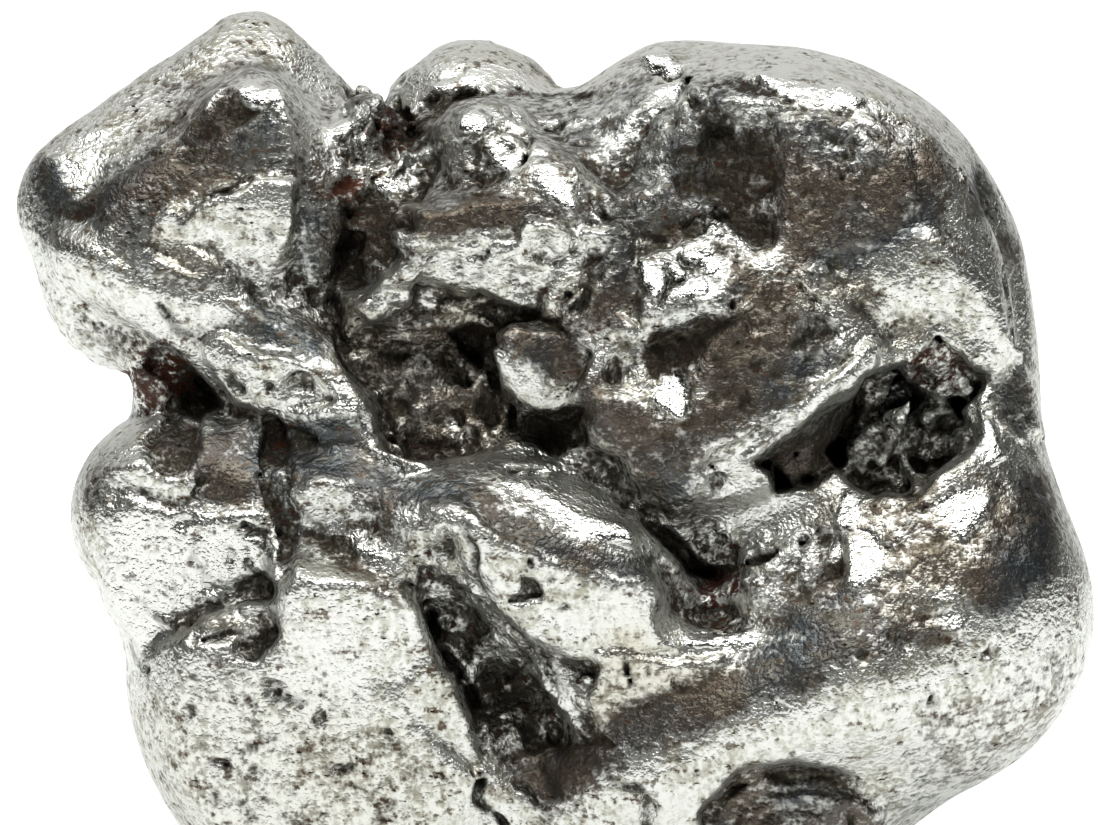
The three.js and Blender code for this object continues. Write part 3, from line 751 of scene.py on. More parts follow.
crack((-7.2, 5.6, 0.08, 0.04, -6.48, 6.08, 0.1, 0.05, -5.52, 5.92, 0.1, 0.04))
knob(-6.08, 5.6, (0.4, 0.25, 0.3), sink=0.08, blend=0.12)
knob(-4.72, 5.68, (0.35, 0.3, 0.3), sink=0.08, blend=0.12)
gleam((-6.4, 5.68, -5.92, 5.84, -5.76, 5.52, -6.24, 5.36), (28, 0), move=0.5, shine=0.6)
region((
    1.6, 10.6, 2.5, 9.5, 3.4, 8.3, 3.4, 6.8, 3.1, 5.6, 2.2, 5.2, 2, 6.4, 2.4, 7.4, 2.6, 8.2,
    2.2, 9.4
), lean=(4, 6), soft=0.22, move=1, sand=0.02, tarnish=0.75, warm=0.2)
streak((1.12, 11.76, 1.68, 10.8, 2.48, 9.6, 3.36, 8.32), 0.16, lean=(-24, -6), soft=0.06, move=0.3)

# Brown torn slope, the pebble and its black hollow
print("shaping the brown slope")
region((
    -8.2, 4.7, -7.5, 5.7, -6.2, 5.8, -4.4, 5.4, -3.4, 5.1, -2.5, 3.9, -1.8, 2.9, -1.6, 1.5, -2.9, 1,
    -4.8, 0.3, -5.9, 0.2, -6.6, 0.9, -7.6, 2.8
), lean=(8, 4), soft=0.2, move=0.4, crags=0.1, sand=0.06, tarnish=0.66, grit=0.25, warm=0.7)
chips(12, (-6.2, 2.2), (1.04, 1.04), (0.06, 0.14))
pores(60, (-4.8, 2.8), (3.04, 2.4), (0.06, 0.13))
chips(20, (-5.2, 3.4), (2.4, 1.6), (0.05, 0.1))
chips(6, (-4, 1.6), (0.56, 0.56), (0.06, 0.14))
chips(5, (-4.72, 0.6), (0.96, 0.24), (0.06, 0.12))
region((
    -3.92, 5.2, -2.8, 5.76, -2.16, 5.52, -2, 4.4, -1.92, 3.28, -2.8, 3.92
), sink=0.35, soft=0.22, crags=0.14, tarnish=0.9, grit=1)
region((
    -1.7, 2.7, -0.4, 2.2, 1.4, 2.7, 2, 2.2, 1.5, 1.3, 0.3, 0.9, -1, 1.2, -1.7, 1.8
), sink=0.45, soft=0.25, crags=0.16, tarnish=0.9, grit=1)
ridge((-5.8, 4.56, 0.08, 0.04, -4.8, 3.92, 0.1, 0.05), blend=0.1)
ridge((-3.2, 4.16, 0.14, 0.08, -2.48, 3.68, 0.14, 0.08), blend=0.12)
streak((-5.84, 4.64, -5.2, 4.16, -4.72, 3.84), 0.12, lean=(28, -10), soft=0.04, shine=0.6)
streak((-4, 1.76, -3.76, 1.36, -3.52, 0.96), 0.16, lean=(29, -10), soft=0.04, shine=0.9)
streak((-3.28, 4.24, -2.88, 3.92, -2.56, 3.68), 0.16, lean=(29, 0), soft=0.04, shine=0.8)
knob(-0.2, 4.4, (1.8, 1.75, 1.6), sink=1, blend=0.1)
region((
    -2, 5.2, -1.2, 5.7, 0.1, 5.6, 1.2, 4.9, 1.4, 4.1, 0.9, 3.4, -0.2, 3.4, -0.8, 4.2, -1.4, 4.8
), lean=(4, 0), soft=0.2, crags=0.02, tarnish=1, warm=0.3)
region((
    -2.2, 4.8, -1.8, 4.7, -1.3, 3.8, -0.7, 3.3, -0.1, 3.2, 1.3, 3.9, 1.4, 3.4, 0.7, 2.6, -0.1, 2.4,
    -1.2, 2.9, -1.9, 3.8
), lean=(-26, -6), soft=0.1, crags=0.03)
ridge((-1.36, 4.8, 0.1, 0.05, -0.88, 3.92, 0.12, 0.06, -0.2, 3.2, 0.1, 0.05), blend=0.12)
ridge((-0.68, 5.52, 0.12, 0.06, 0.08, 5.28, 0.12, 0.06, 0.72, 4.88, 0.12, 0.06), blend=0.12)
crack((
    -2.32, 5.2, 0.14, 0.08, -2.16, 4.08, 0.2, 0.1, -1.6, 3, 0.2, 0.1, -0.6, 2.32, 0.16, 0.08,
    0.72, 2.4, 0.14, 0.06, 1.44, 3.12, 0.1, 0.05
))
region((
    0.48, 5.6, 1.6, 5.4, 2.48, 4.8, 1.8, 4.08, 1.28, 4.4
), soft=0.15, crags=0.1, grit=0.5, rust=0.5)
ridge((
    -8.24, 2.96, 0.12, 0.08, -7.52, 1.8, 0.14, 0.1, -6.96, 0.72, 0.14, 0.1, -6.4, 0.16, 0.16, 0.1,
    -5.92, -0.24, 0.18, 0.1, -5, -0.08, 0.12, 0.08
), blend=0.14)
streak((-8.16, 2.88, -7.68, 2.16, -7.12, 1.2, -6.64, 0.48), 0.24, lean=(30, -10), move=1, shine=1)
gleam((-6.56, 0.48, -6.24, 0.16, -5.92, -0.16, -6, -0.4, -6.4, -0.24, -6.64, 0.16), move=1)

# Nose: its second ridge, the bright streak, the dark band and the light facet with the star pit
print("shaping the nose")
region((
    -6.6, 0.4, -5.6, -0.4, -4.4, -0.2, -3.2, -0.3, -2, -1, -2.8, -1.5, -4.4, -1.2, -5.6, -1.5,
    -6.6, -1.2
), soft=0.3, tarnish=1, warm=-0.3)
region((
    -3.2, -0.5, -2, -0.9, 0.4, -2, 2.7, -3.3, 4.2, -3.3, 4.4, -3.8, 2.4, -3.7, 0.4, -3.1, -1.6, -2,
    -3, -1.2
), soft=0.3, tarnish=1, grit=0.5, warm=0.4)
gleam((
    -1.7, -0.4, -1.1, -0.2, -0.2, -0.5, 1.2, -1.3, 2.6, -2, 3.4, -2.8, 3.2, -3.1, 2, -2.6,
    0.4, -1.8, -1, -1
), (29, 4), soft=0.14)
streak((
    -1.6, 0.16, -0.8, 0.32, 0.24, 0.32, 1.6, -0.08
), 0.28, lean=(29, 4), soft=0.06, crags=0.05, shine=0.8)
streak((-1.04, 0.8, -0.64, 0.92, -0.08, 0.8), 0.2, lean=(29, 0), shine=0.8)
pores(24, (-3.2, -0.4), (3.2, 0.88), (0.05, 0.1))
crack((
    -1.52, 0.56, 0.08, 0.03, -0.2, 0.64, 0.12, 0.05, 1.2, 0.48, 0.12, 0.05, 2.32, -0.16, 0.1, 0.03
))
streak((3.28, -1.12, 3.8, -1.36, 4.32, -1.68), 0.22, lean=(28, 0), soft=0.06, crags=0.04, shine=0.6)
crack((
    -1.2, 0.08, 0.05, 0.01, 0.4, 0, 0.06, 0.01, 2, -0.64, 0.06, 0.01, 3.6, -1.68, 0.05, 0.01
), dark=0.4)
region((
    -4.9, -1.7, -4, -1.3, -2.8, -1.8, -1.2, -2.7, 0.8, -3.7, 2, -4.1, 4, -3.8, 4.4, -4.8, 4.2, -6,
    5.2, -7, 3.6, -7.3, 2, -7.2, 0.4, -6.7, -1.2, -5.7, -2.1, -4.8, -2.8, -3.7, -3.6, -2.5,
    -4.4, -2.8
), lean=(-26, -2), soft=0.25, crags=0.012, sand=0.02)
region((
    -2.6, -1.4, -1.4, -2.2, 0.4, -3.2, 2.5, -3.8, 4.2, -3.5, 4.2, -4.1, 2.4, -4.4, 0.4, -3.8,
    -1.5, -2.9, -2.8, -2
), soft=0.3, tarnish=1, grit=0.3, warm=0.3)
pores(30, (0.4, -5.2), (3.6, 1.6), (0.04, 0.08))
region((
    -1.12, -4.16, -0.8, -4.48, -0.4, -4.4, 0, -5.04, -0.6, -5.28, -1.52, -5.36, -0.92, -4.88
), sink=0.35, soft=0.06, crags=0.04, grit=0.7)
region((
    2, -7.3, 5.6, -7.3, 7.8, -7, 6.1, -8.5, 4, -9.4, 2, -10.1, 1.1, -8.5
), lean=(-24, 0), soft=0.2, move=0.3, crags=0.1, tarnish=0.25, warm=0.6)
region((2.48, -6.4, 3.6, -6.08, 4.4, -7.2, 3.6, -7.68, 2.72, -7.4), soft=0.3, tarnish=0.3, warm=1)
crack((3.28, -7.6, 0.08, 0, 3.36, -8.4, 0.14, 0.03, 3.6, -8.8, 0.1, 0))
crack((4.2, -7.4, 0.05, 0, 4.32, -8, 0.06, 0))
pit(1.68, -8.8, (0.25, 0.2, 0.2))
pit(2, -10, (0.35, 0.18, 0.2))

# Torn wedge between the nose and the lower left lobe
print("shaping the torn wedge")
region((
    -6.3, -4.8, -5.7, -4.7, -5, -5.7, -4.3, -7.1, -3.4, -8.8, -2.6, -10.1, -2.2, -11.4, -3.2, -12.1,
    -4.8, -10.8, -6.2, -8.4
), lean=(-24, 6), soft=0.22, move=1.6, at=(-6.08, -8.4))
region((
    -5.3, -3.6, -3.8, -3.2, -2.9, -4.1, -2.2, -5.3, -0.6, -6.8, 1.9, -7.7, 1.5, -9.2, 2.5, -10.9,
    0.4, -11.1, -1.6, -11.3, -2.2, -11.3, -2.8, -9.9, -3.4, -8.8, -4.5, -7, -5, -5.6
), sink=0.2, soft=0.08, crags=0.2, sand=0.06, tarnish=0.2, grit=0.15)
region((
    -3.2, -8.6, -2.3, -7.7, -1.3, -7.9, -0.6, -9.2, -0.8, -10.6, -1.8, -11.1, -2.6, -10.7, -3, -9.5
), sink=0.4, soft=0.25, crags=0.3, tarnish=0.45, grit=1)
knob(-2.24, -10.6, (0.9, 0.8, 0.5), sink=0.4, blend=0.4)
region((
    -5, -5.7, -4.6, -7, -3.5, -8.8, -2.8, -10.1, -2.3, -10, -2.9, -8.8, -3.8, -7, -4.4, -5.7
), sink=0.4, soft=0.1, crags=0.16, tarnish=0.6, grit=1)
region((
    -6, -3.6, -5, -3.1, -4.2, -2, -3.7, -2.6, -3.2, -4, -4.8, -4.2
), lean=(-6, 0), soft=0.12, move=0.3, crags=0.14, grit=0.35)
region((
    -0.56, -6.8, 0.4, -6.88, 1.92, -7.76, 1.8, -8.16, 0.48, -7.92
), lean=(-2, 4), sink=0.1, move=0.3, grit=0.4)
region((-0.2, -7.4, 1, -8.2, 1.6, -10, 0.6, -9.4, -0.1, -8.4), lean=(-22, 0), move=0.3, crags=0.08)
pores(24, (-1.6, -9.2), (2, 1.84), (0.06, 0.12))
chips(10, (-1.2, -9.2), (2, 1.84), (0.05, 0.12))
for line in (
    (
        -3.28, -2.4, 0.1, 0.02, -2.88, -3.6, 0.14, 0.06, -2.4, -4.96, 0.18, 0.08,
        -1.2, -6.4, 0.18, 0.08, -0.08, -7.28, 0.14, 0.05, 1.12, -8.8, 0.12, 0.04,
        1.84, -10.4, 0.12, 0.04
    ),
    (-5.4, -4.2, 0.12, 0.06, -4.72, -5.8, 0.16, 0.1, -3.8, -7.8, 0.2, 0.12, -3.04, -9.4, 0.2, 0.12),
    (-3.8, -4.8, 0.15, 0.05, -3.2, -6, 0.2, 0.1, -2.8, -7.4, 0.2, 0.1),
):
    crack(line)
region((
    -2.1, -11.4, 0.4, -11, 2.9, -10.9, 5.6, -9.8, 7.7, -8.5, 10, -7.4, 12, -6.8, 10, -8.8,
    8.4, -9.2, 6, -10.5, 3.6, -11.3, 1.7, -12.8, 0.5, -13.3, -0.9, -12.6
), soft=0.3, sand=0.03, tarnish=1, grit=0.2)
streak((
    1.84, -10.8, 4, -9.68, 6, -8.8, 7.8, -8.08, 9.8, -7.2
), 0.9, soft=0.3, tarnish=0.95, grit=0.3, warm=0.6)
for line in (
    (
        -2.16, -11.28, 0.2, 0.1, -2.48, -12.2, 0.25, 0.15, -2.72, -12.88, 0.22, 0.1,
        -2.16, -13.68, 0.2, 0.1, -1.8, -14.4, 0.2, 0.1
    ),
    (-2.08, -11.6, 0.1, 0.05, -0.8, -12.6, 0.14, 0.05, 0.4, -13.28, 0.12, 0.03),
    (-0.2, -11.8, 0.1, 0.02, 0.4, -12.4, 0.14, 0.05, 1, -12.8, 0.1, 0.02),
):
    crack(line)
region((
    -2, -12, -1.5, -12.1, -0.4, -13.2, 1, -14.6, -1.2, -14.6, -1.8, -13.6
), lean=(-20, -6), soft=0.06, move=0.3, crags=0.05)

# Left lobes: notch with its rust-brown piece, the crack and its branches, hollows and dents
print("shaping the left lobes")
region((
    -16, 5.1, -15.3, 5, -14.4, 4.1, -13.6, 3, -13, 2.2, -14.4, 1.8, -15.6, 2.3, -15.2, 2.8,
    -16, 4.2
), sink=0.5, soft=0.1, crags=0.1, tarnish=0.9, grit=0.9, rust=0.35)
region((
    -16.96, 3.8, -16.4, 4.72, -15.6, 5, -15.12, 4.2, -15.28, 2.8, -16.4, 2.56
), soft=0.1, crags=0.08, grit=0.5, rust=0.8)
region((
    -16.2, 1.4, -15.6, 2.2, -14.2, 2.6, -13.8, 1.8, -13.9, 0.7, -14.6, -0.2, -15.5, 0.1, -16, 0.7
), sink=0.4, soft=0.2, crags=0.08, tarnish=1, grit=1)
streak((-15.92, 1.04, -15.36, 1.28, -14.88, 1.68), 0.14, lean=(-22, -20))
region((
    -14.88, 1.84, -14.4, 1.92, -14.08, 1.52, -14.48, 1.12, -14.88, 1.28
), lean=(-10, 0), soft=0.1, crags=0.05, tarnish=0.4)
gleam((
    -17.5, -1.7, -16, -1.2, -14, -1.8, -12.4, -1.8, -11.5, -1.8, -11.2, -4, -11.4, -5, -12.9, -5.4,
    -14.8, -6.5, -16.3, -7.1, -17.7, -5.4
), (-18, -10), soft=0.45, move=4, at=(-14.8, -3.6), shine=0.5)
gleam((
    -10, -3.6, -8, -4.1, -6, -4.6, -5, -5.7, -4.6, -7.6, -6, -8.8, -9.2, -8, -10.6, -6
), (-20, 4), soft=0.35, move=1.2, shine=0.3)
pores(30, (-14.8, -3.6), (3.2, 2.4), (0.04, 0.09))
region((
    -16.7, 0.3, -16.2, 0.6, -15.6, -0.2, -14.6, -0.2, -13.9, -0.5, -14.2, -1.1, -15.2, -1.4,
    -16.3, -1.2, -16.9, -0.6
), lean=(-24, -14), soft=0.3, move=0.4, crags=0.03)
region((
    -13.7, 2, -12.6, 2.2, -11.4, 1.7, -11.3, 0.8, -11.3, -0.2, -11.1, -1.3, -11.9, -1.7, -13, -1.8,
    -14.2, -1.4, -14.3, -0.8, -14.2, 0, -13.8, 1
), soft=0.12, sand=0.01, tarnish=0.8, warm=-0.5)
region((
    -13.76, -0.32, -12.56, 0, -11.52, -0.4, -11.52, -1.2, -12.8, -1.52, -13.84, -1.2
), soft=0.2, tarnish=0.8, warm=0.6)
streak((-14.16, -1.36, -12.8, -1.64, -11.44, -1.52), 0.3, soft=0.1, tarnish=0.85)
streak((-17.36, -1.28, -16, -1.12, -14.4, -1.28), 0.25, soft=0.15, tarnish=0.35, grit=0.2)
region((
    -18.56, -0.88, -17.52, 0.24, -17.36, -0.2, -18.08, -1.8, -18.64, -1.68
), lean=(6, -52), soft=0.12, move=0.8, tarnish=1, grit=1)
region((
    -17.52, 0, -17.04, 0.24, -16.4, 0, -16.56, -0.8, -17.36, -1.2
), lean=(-20, -30), soft=0.2, move=0.4, crags=0.04, tarnish=0.2)
region((
    -11.52, 1.84, -10.56, 1.84, -10.16, 0.72, -10.24, 0, -11.2, -0.32
), sink=0.25, soft=0.08, crags=0.08, tarnish=0.9, grit=0.85, rust=0.3)
region((
    -11.2, -0.2, -10.6, -0.3, -10.2, -1.2, -10, -2, -10.3, -2.6, -10.4, -3.6, -10.3, -4.3,
    -10.8, -4.5, -11, -3.6, -10.8, -2.8, -11.1, -1.7
), sink=0.3, soft=0.1, crags=0.08, tarnish=0.8, grit=0.6, rust=0.2, warm=-1)
for line in (
    (
        -11.44, 1.2, 0.07, 0.04, -11.28, 0.4, 0.08, 0.04, -11.28, -0.4, 0.1, 0.05,
        -11.04, -1.4, 0.1, 0.05, -10.96, -2.4, 0.1, 0.05
    ),
    (-10.64, 1.6, 0.08, 0.04, -10.4, 0.72, 0.1, 0.06, -10.4, -0.16, 0.12, 0.06),
    (
        -11.12, -2.64, 0.08, 0.04, -11.04, -3.6, 0.12, 0.06, -10.88, -4.4, 0.12, 0.06,
        -10.4, -4.64, 0.1, 0.04
    ),
    (-10.4, -0.16, 0.1, 0.06, -10.08, -1.2, 0.12, 0.08, -9.52, -2.16, 0.12, 0.06),
):
    crack(line)
streak((
    -10.4, -2.72, -9.2, -2.96, -7.92, -3.6, -6.4, -4.4, -5.6, -4.88
), 0.7, soft=0.14, tarnish=0.95, grit=0.25)
crack((-10, -2.4, 0.06, 0.02, -8.8, -2.88, 0.08, 0.04, -7.6, -3.28, 0.06, 0.02))
crack((-10.72, -2.48, 0.1, 0.03, -11.52, -2.8, 0.12, 0.03, -12.48, -3.12, 0.06, 0), waver=0.35)
crack((-11.52, -2.8, 0.06, 0.01, -12.08, -2.48, 0.08, 0.01, -12.72, -2.8, 0.05, 0), waver=0.35)
crack((-14.2, -1.2, 0.12, 0.04, -13.8, -0.64, 0.16, 0.06, -14, -0.32, 0.1, 0.02))
crack((-14.2, -1.2, 0.1, 0.02, -15.12, -1.44, 0.08, 0.01, -16, -1.12, 0.06, 0), waver=0.3)
pit(-14.88, -2, (0.4, 0.3, 0.25), dark=0.3)
region((
    -10.5, 1.6, -9.6, 2.2, -8.2, 2.2, -7.4, 1.2, -6.4, -0.2, -5.5, -1, -6, -1.8, -7.5, -1.6,
    -8, -0.9, -8.8, -0.2, -9.7, -0.6, -10.2, -0.4
), soft=0.25, sand=0.04, tarnish=0.9, warm=-0.2)
region((
    -10.2, -0.8, -9.5, -0.4, -8.8, -0.2, -8, -0.5, -7.3, -1.2, -7.8, -1.8, -8.8, -2.4, -9.5, -2.2,
    -10, -1.5
), lean=(-24, 0), soft=0.22, move=1.2)
region((
    -7.52, 0.96, -6.88, 0.72, -6.64, -0.16, -7.12, -0.56, -7.68, 0
), soft=0.25, tarnish=0.7, warm=1)
crack((
    -10.16, 1.2, 0.1, 0.03, -9.6, 0.96, 0.12, 0.04, -9.52, 0.48, 0.12, 0.04,
    -10.08, 0.32, 0.1, 0.03
))
region((
    -7.68, -2.32, -6.64, -2.08, -5.6, -2.4, -5.52, -3.04, -6.16, -3.28, -6.64, -2.8, -7.36, -2.64
), sink=0.15, soft=0.12, crags=0.08, tarnish=0.7, grit=0.5)
streak((
    -7.68, -2.72, -7.44, -3.04, -7.04, -3.28, -6.64, -3.44
), 0.26, lean=(30, 0), move=0.8, shine=1)
region((
    -13.7, -4.8, -13, -4.4, -12.2, -4.2, -11.5, -4.2, -11, -4.6, -11, -5.3, -11.7, -5.4,
    -12.4, -5.2, -13.1, -5.2
), lean=(6, 2), sink=0.02, soft=0.1, move=0.8, tarnish=0.85, warm=-0.6)
region((
    -15.4, -5.7, -14, -5.4, -12.4, -5.4, -11, -5.4, -10.6, -6.5, -11.5, -7.7, -12.7, -7.4,
    -12.3, -6.8, -13.8, -6.5
), lean=(0, -4), sink=0.2, soft=0.14, move=0.4, crags=0.08, sand=0.05, tarnish=0.5, grit=0.3,
    warm=0.6)
streak((-12.72, -5.36, -12.08, -5.6, -11.28, -5.68), 0.16, lean=(-24, 0), move=0.4)
streak((-13.68, -6.48, -13.28, -6.24, -12.96, -6), 0.16, lean=(28, 0), move=0.4, shine=0.5)
region((
    -12.4, -7.12, -11.52, -6.8, -10.8, -6.4, -10.96, -7.2, -11.68, -7.68
), sink=0.2, soft=0.1, crags=0.05, tarnish=0.9, grit=1)
for line in (
    (
        -15.28, -5.68, 0.08, 0.02, -14.4, -6.08, 0.12, 0.05, -13.76, -6.48, 0.12, 0.05,
        -12.72, -6.4, 0.16, 0.08, -11.92, -6.32, 0.12, 0.05
    ),
    (
        -13.12, -7.44, 0.08, 0.03, -12.32, -7.6, 0.12, 0.06, -11.68, -7.6, 0.14, 0.08,
        -10.8, -6.64, 0.1, 0.05
    ),
    (-14, -7.04, 0.06, 0.02, -13.76, -7.28, 0.1, 0.04),
    (-16.64, -7.12, 0.22, 0.08, -16.4, -7.52, 0.2, 0.08, -16, -7.92, 0.14, 0.02),
):
    crack(line)
specks((
    -15.76, -2.4, 0.28, -14.4, -2.8, 0.14, -12.88, -3.44, 0.18, -15.6, -3.44, 0.12,
    -14.8, -4.4, 0.16, -17.2, -4.6, 0.24, -17.52, -5.2, 0.18, -15, -7.4, 0.32, -16, -5.2, 0.1,
    -13.8, -4.2, 0.1, -16.4, -3.44, 0.1, -18, -4, 0.12
), dark=0.5)

# Shoulder: bright rim, dark scoop and brown bowl
print("shaping the shoulder")
region((
    5.4, 14.3, 5.8, 15.4, 7.6, 15.4, 9, 14.8, 9.2, 13.2, 8.9, 10.8, 8.6, 8.7, 7.7, 8.7, 6.6, 10.6,
    5.6, 10.8, 4.7, 11, 5, 12.4
), sink=0.2, soft=0.5, move=0.4, crags=0.08, tarnish=1, grit=0.9, warm=-0.2)
region((
    6, 13.7, 7, 13.5, 7.8, 12.4, 7.9, 11, 7.1, 10.6, 6.2, 11.2, 5.8, 12.6
), lean=(8, -14), sink=0.35, soft=0.35, move=0.6, crags=0.14, sand=0.05, tarnish=1, grit=0.9)
region((
    7.12, 10.56, 8.48, 10.96, 8.64, 8.8, 7.76, 8.72
), lean=(4, -20), sink=0.25, soft=0.25, crags=0.12, tarnish=1, grit=0.9)
region((
    4.8, 11.6, 6, 11.76, 6.64, 10.56, 5.6, 10.64
), sink=0.25, soft=0.25, crags=0.16, tarnish=1, grit=1)
pores(40, (6.88, 12), (1.92, 2.8), (0.08, 0.16))
region((
    6.48, 14.8, 8.16, 14.56, 8.96, 14.32, 8.8, 13.76, 7.92, 13.68, 7.52, 13.12, 6.96, 13.68
), lean=(-14, -4), soft=0.18, move=0.4, crags=0.05, tarnish=0.2)
region((
    5.76, 15.12, 6.08, 15.04, 6.16, 14.56, 5.92, 14.32, 5.76, 14.64
), lean=(-20, -10), sink=-0.15, soft=0.06)
region((
    7.84, 11.76, 8.24, 11.92, 8.4, 10.96, 8, 10.24, 7.76, 10.64
), lean=(-14, -14), soft=0.1, move=0.3, tarnish=0.15)
crack((
    5.6, 14.96, 0.1, 0.04, 6.32, 15.4, 0.14, 0.08, 7.44, 15.2, 0.16, 0.08, 8.64, 14.72, 0.14, 0.06,
    10, 14.72, 0.1, 0.04, 11.6, 14.32, 0.1, 0.03, 12.88, 13.68, 0.08, 0.02
), dark=0.8)
crack((9.12, 15.28, 0.05, 0, 9.04, 14.72, 0.07, 0.02, 9.08, 14.08, 0.06, 0.01))
region((
    9.4, 14, 10.9, 14.6, 12.9, 14.2, 14.2, 13.1, 14.6, 11.5, 14.6, 10.7, 13.2, 9.4, 11.3, 8.6,
    10.1, 8.2, 9.1, 8.4, 9, 10.7, 9.3, 12.8
), lean=(5, 0), soft=0.35, move=0.4, crags=0.02, sand=0.05, tarnish=0.8, grit=0.35, warm=0.6)
region((
    9.7, 13.6, 11.2, 13.8, 13.2, 13.1, 13.8, 12.5, 12.8, 11.8, 11.2, 12, 10, 12.4
), soft=0.25, sand=0.05, tarnish=0.6, grit=0.2, warm=-0.4)
streak((
    8.72, 14.32, 9.28, 14.16, 10.16, 14.56, 10.96, 14.64, 12, 14.16, 13.04, 13.44
), 0.34, lean=(-18, 0), soft=0.12, move=0.4, tarnish=0.15)
chips(9, (12.48, 12.48), (0.88, 0.56), (0.06, 0.14))
chips(14, (11.2, 10.08), (1.92, 0.88), (0.05, 0.11))
pores(36, (11.6, 11.4), (2.8, 2.2), (0.05, 0.11))
chips(10, (12.4, 11.2), (1.76, 1.2), (0.05, 0.1))
chips(5, (9.6, 11.76), (0.56, 0.48), (0.06, 0.1))
grains(16, (12, 12.2), (1.8, 1), (0.08, 0.17))
grains(14, (10.8, 9.8), (1.6, 1), (0.08, 0.16))
streak((
    8.56, 8.72, 8.72, 10.8, 9, 12.8, 9.12, 14.48
), 0.16, lean=(-12, -20), soft=0.08, move=0.3, tarnish=0.3)
gleam((
    8, 15.6, 9, 15.6, 10, 15.4, 11.3, 15.4, 12.2, 15, 12.5, 14.6, 11.9, 14.6, 10.8, 14.8, 9.6, 14.9,
    8.6, 15.1
), soft=0.06, move=1)
streak((
    14.72, 11.2, 14.56, 10.56, 13.44, 9.68, 12, 8.88, 10.6, 8.32
), 0.5, soft=0.2, tarnish=0.7, warm=1)
region((
    14.7, 12.8, 15.6, 12.2, 16.2, 11, 16.3, 9.2, 17.2, 7.4, 16.3, 8.1, 15.3, 9.4, 14.8, 10.6
), lean=(4, 22), soft=0.3, move=0.3, tarnish=0.55)
streak((
    14.64, 10.16, 14, 9.76, 12.88, 9.04, 11.84, 8.32, 10.48, 7.76
), 0.6, soft=0.22, tarnish=0.9, warm=-0.9)

# Cleavage block: bright broken faces with fine splits, and the folded lip under it
print("shaping the cleavage block")
region((
    2, 11, 3.6, 11.4, 5.6, 10.6, 6.8, 10.2, 6, 9.3, 4.4, 9, 3.4, 8.3, 2.5, 9.5
), lean=(2, 8), soft=0.25, move=0.4, crags=0.06, sand=0.05, tarnish=0.85, grit=0.6)
region((
    2.9, 9.8, 4, 10.1, 5.6, 9.8, 5.4, 9, 4, 8.9, 3.1, 8.6
), soft=0.12, crags=0.05, tarnish=0.7, warm=0.7)
region((
    3.36, 10.96, 3.68, 10.8, 4, 10.32, 4.48, 9.92, 4.16, 9.76, 3.6, 10.32
), lean=(-22, 10), sink=-0.1, move=0.4)
gleam((3.84, 10.88, 4.24, 11.04, 4.4, 10.72, 4, 10.56), (28, 0), move=0.4, shine=0.8)
gleam((5.36, 11.04, 5.6, 11.12, 5.76, 10.72, 5.44, 10.64), (28, 0), sink=-0.1, move=0.4, shine=0.9)
region((
    3.2, 8.3, 4.2, 8.6, 5.4, 8.8, 6, 8.4, 7, 8.3, 6.7, 7.6, 6.2, 6.7, 5.6, 6.2, 4.6, 6.4, 3.8, 7
), lean=(26, 0), soft=0.08, move=2, at=(5.04, 7.4), grit=0.6)
gleam((
    3.28, 8.24, 3.68, 8.32, 4.16, 8.4, 4.56, 7.84, 4.6, 7.2, 4.24, 6.88, 3.68, 7.44
), (31, -6), sink=-0.14, move=2)
gleam((
    4.4, 8.4, 4.88, 8.64, 5.28, 8.56, 5.28, 8.08, 5.6, 7.6, 4.88, 7.44, 4.72, 7.84
), (30, 2), sink=-0.16, move=2)
gleam((
    5.36, 8.64, 6, 8.56, 6.72, 8.16, 6.64, 7.68, 6, 7.6, 5.52, 8.08
), (30, 8), sink=-0.12, move=2)
gleam((
    4.8, 7.2, 5.68, 7.36, 6.4, 7.52, 6.08, 6.8, 5.44, 6.56, 4.88, 6.72
), (31, 0), sink=-0.1, move=2)
streak((
    6, 10.24, 6.48, 9.84, 7.04, 9.2, 7.68, 8.64, 8.4, 8.08
), 0.32, lean=(28, 20), soft=0.06, crags=0.03, shine=1)
for line in (
    (
        3.28, 8.32, 0.13, 0.08, 3.76, 7.28, 0.12, 0.06, 4.32, 6.68, 0.12, 0.06,
        5.04, 6.36, 0.1, 0.04, 6, 6.56, 0.08, 0.03
    ),
    (4.24, 8.56, 0.1, 0.08, 4.64, 7.92, 0.13, 0.1, 4.68, 7.2, 0.13, 0.1, 4.48, 6.72, 0.08, 0.03),
    (4.68, 7.28, 0.1, 0.08, 5.6, 7.44, 0.11, 0.08, 6.64, 7.52, 0.08, 0.04),
    (5.32, 8.64, 0.07, 0.04, 5.4, 8.08, 0.08, 0.05, 5.76, 7.6, 0.07, 0.04),
    (3.6, 9.12, 0.08, 0.03, 4.6, 9.36, 0.12, 0.06, 5.52, 9.76, 0.1, 0.04, 6.16, 10.4, 0.1, 0.04),
    (6.48, 10.64, 0.1, 0.04, 7.04, 10, 0.12, 0.05, 7.68, 9.12, 0.1, 0.04),
):
    crack(line)
region((
    6.16, 9.52, 6.56, 9.2, 7.12, 8.64, 7.68, 8.16, 7.2, 8, 6.64, 8.48, 6.16, 8.96
), soft=0.08, tarnish=0.95, grit=0.6)
pores(22, (7.12, 9.28), (1.04, 1.04), (0.05, 0.1))
pores(10, (5.04, 7.44), (1.6, 0.88), (0.04, 0.07))
region((
    3.4, 7, 4.2, 6.3, 6, 6.1, 7.7, 6.9, 8.6, 7.8, 8.3, 6.9, 6.9, 5.8, 5.6, 5.4, 4, 5.7
), lean=(-8, 0), soft=0.12, tarnish=0.7)
region((
    6.88, 8.32, 7.68, 8.24, 8.72, 7.68, 7.92, 6.8, 6.88, 6.56, 6.64, 7.28
), soft=0.15, tarnish=0.8, warm=-0.2)
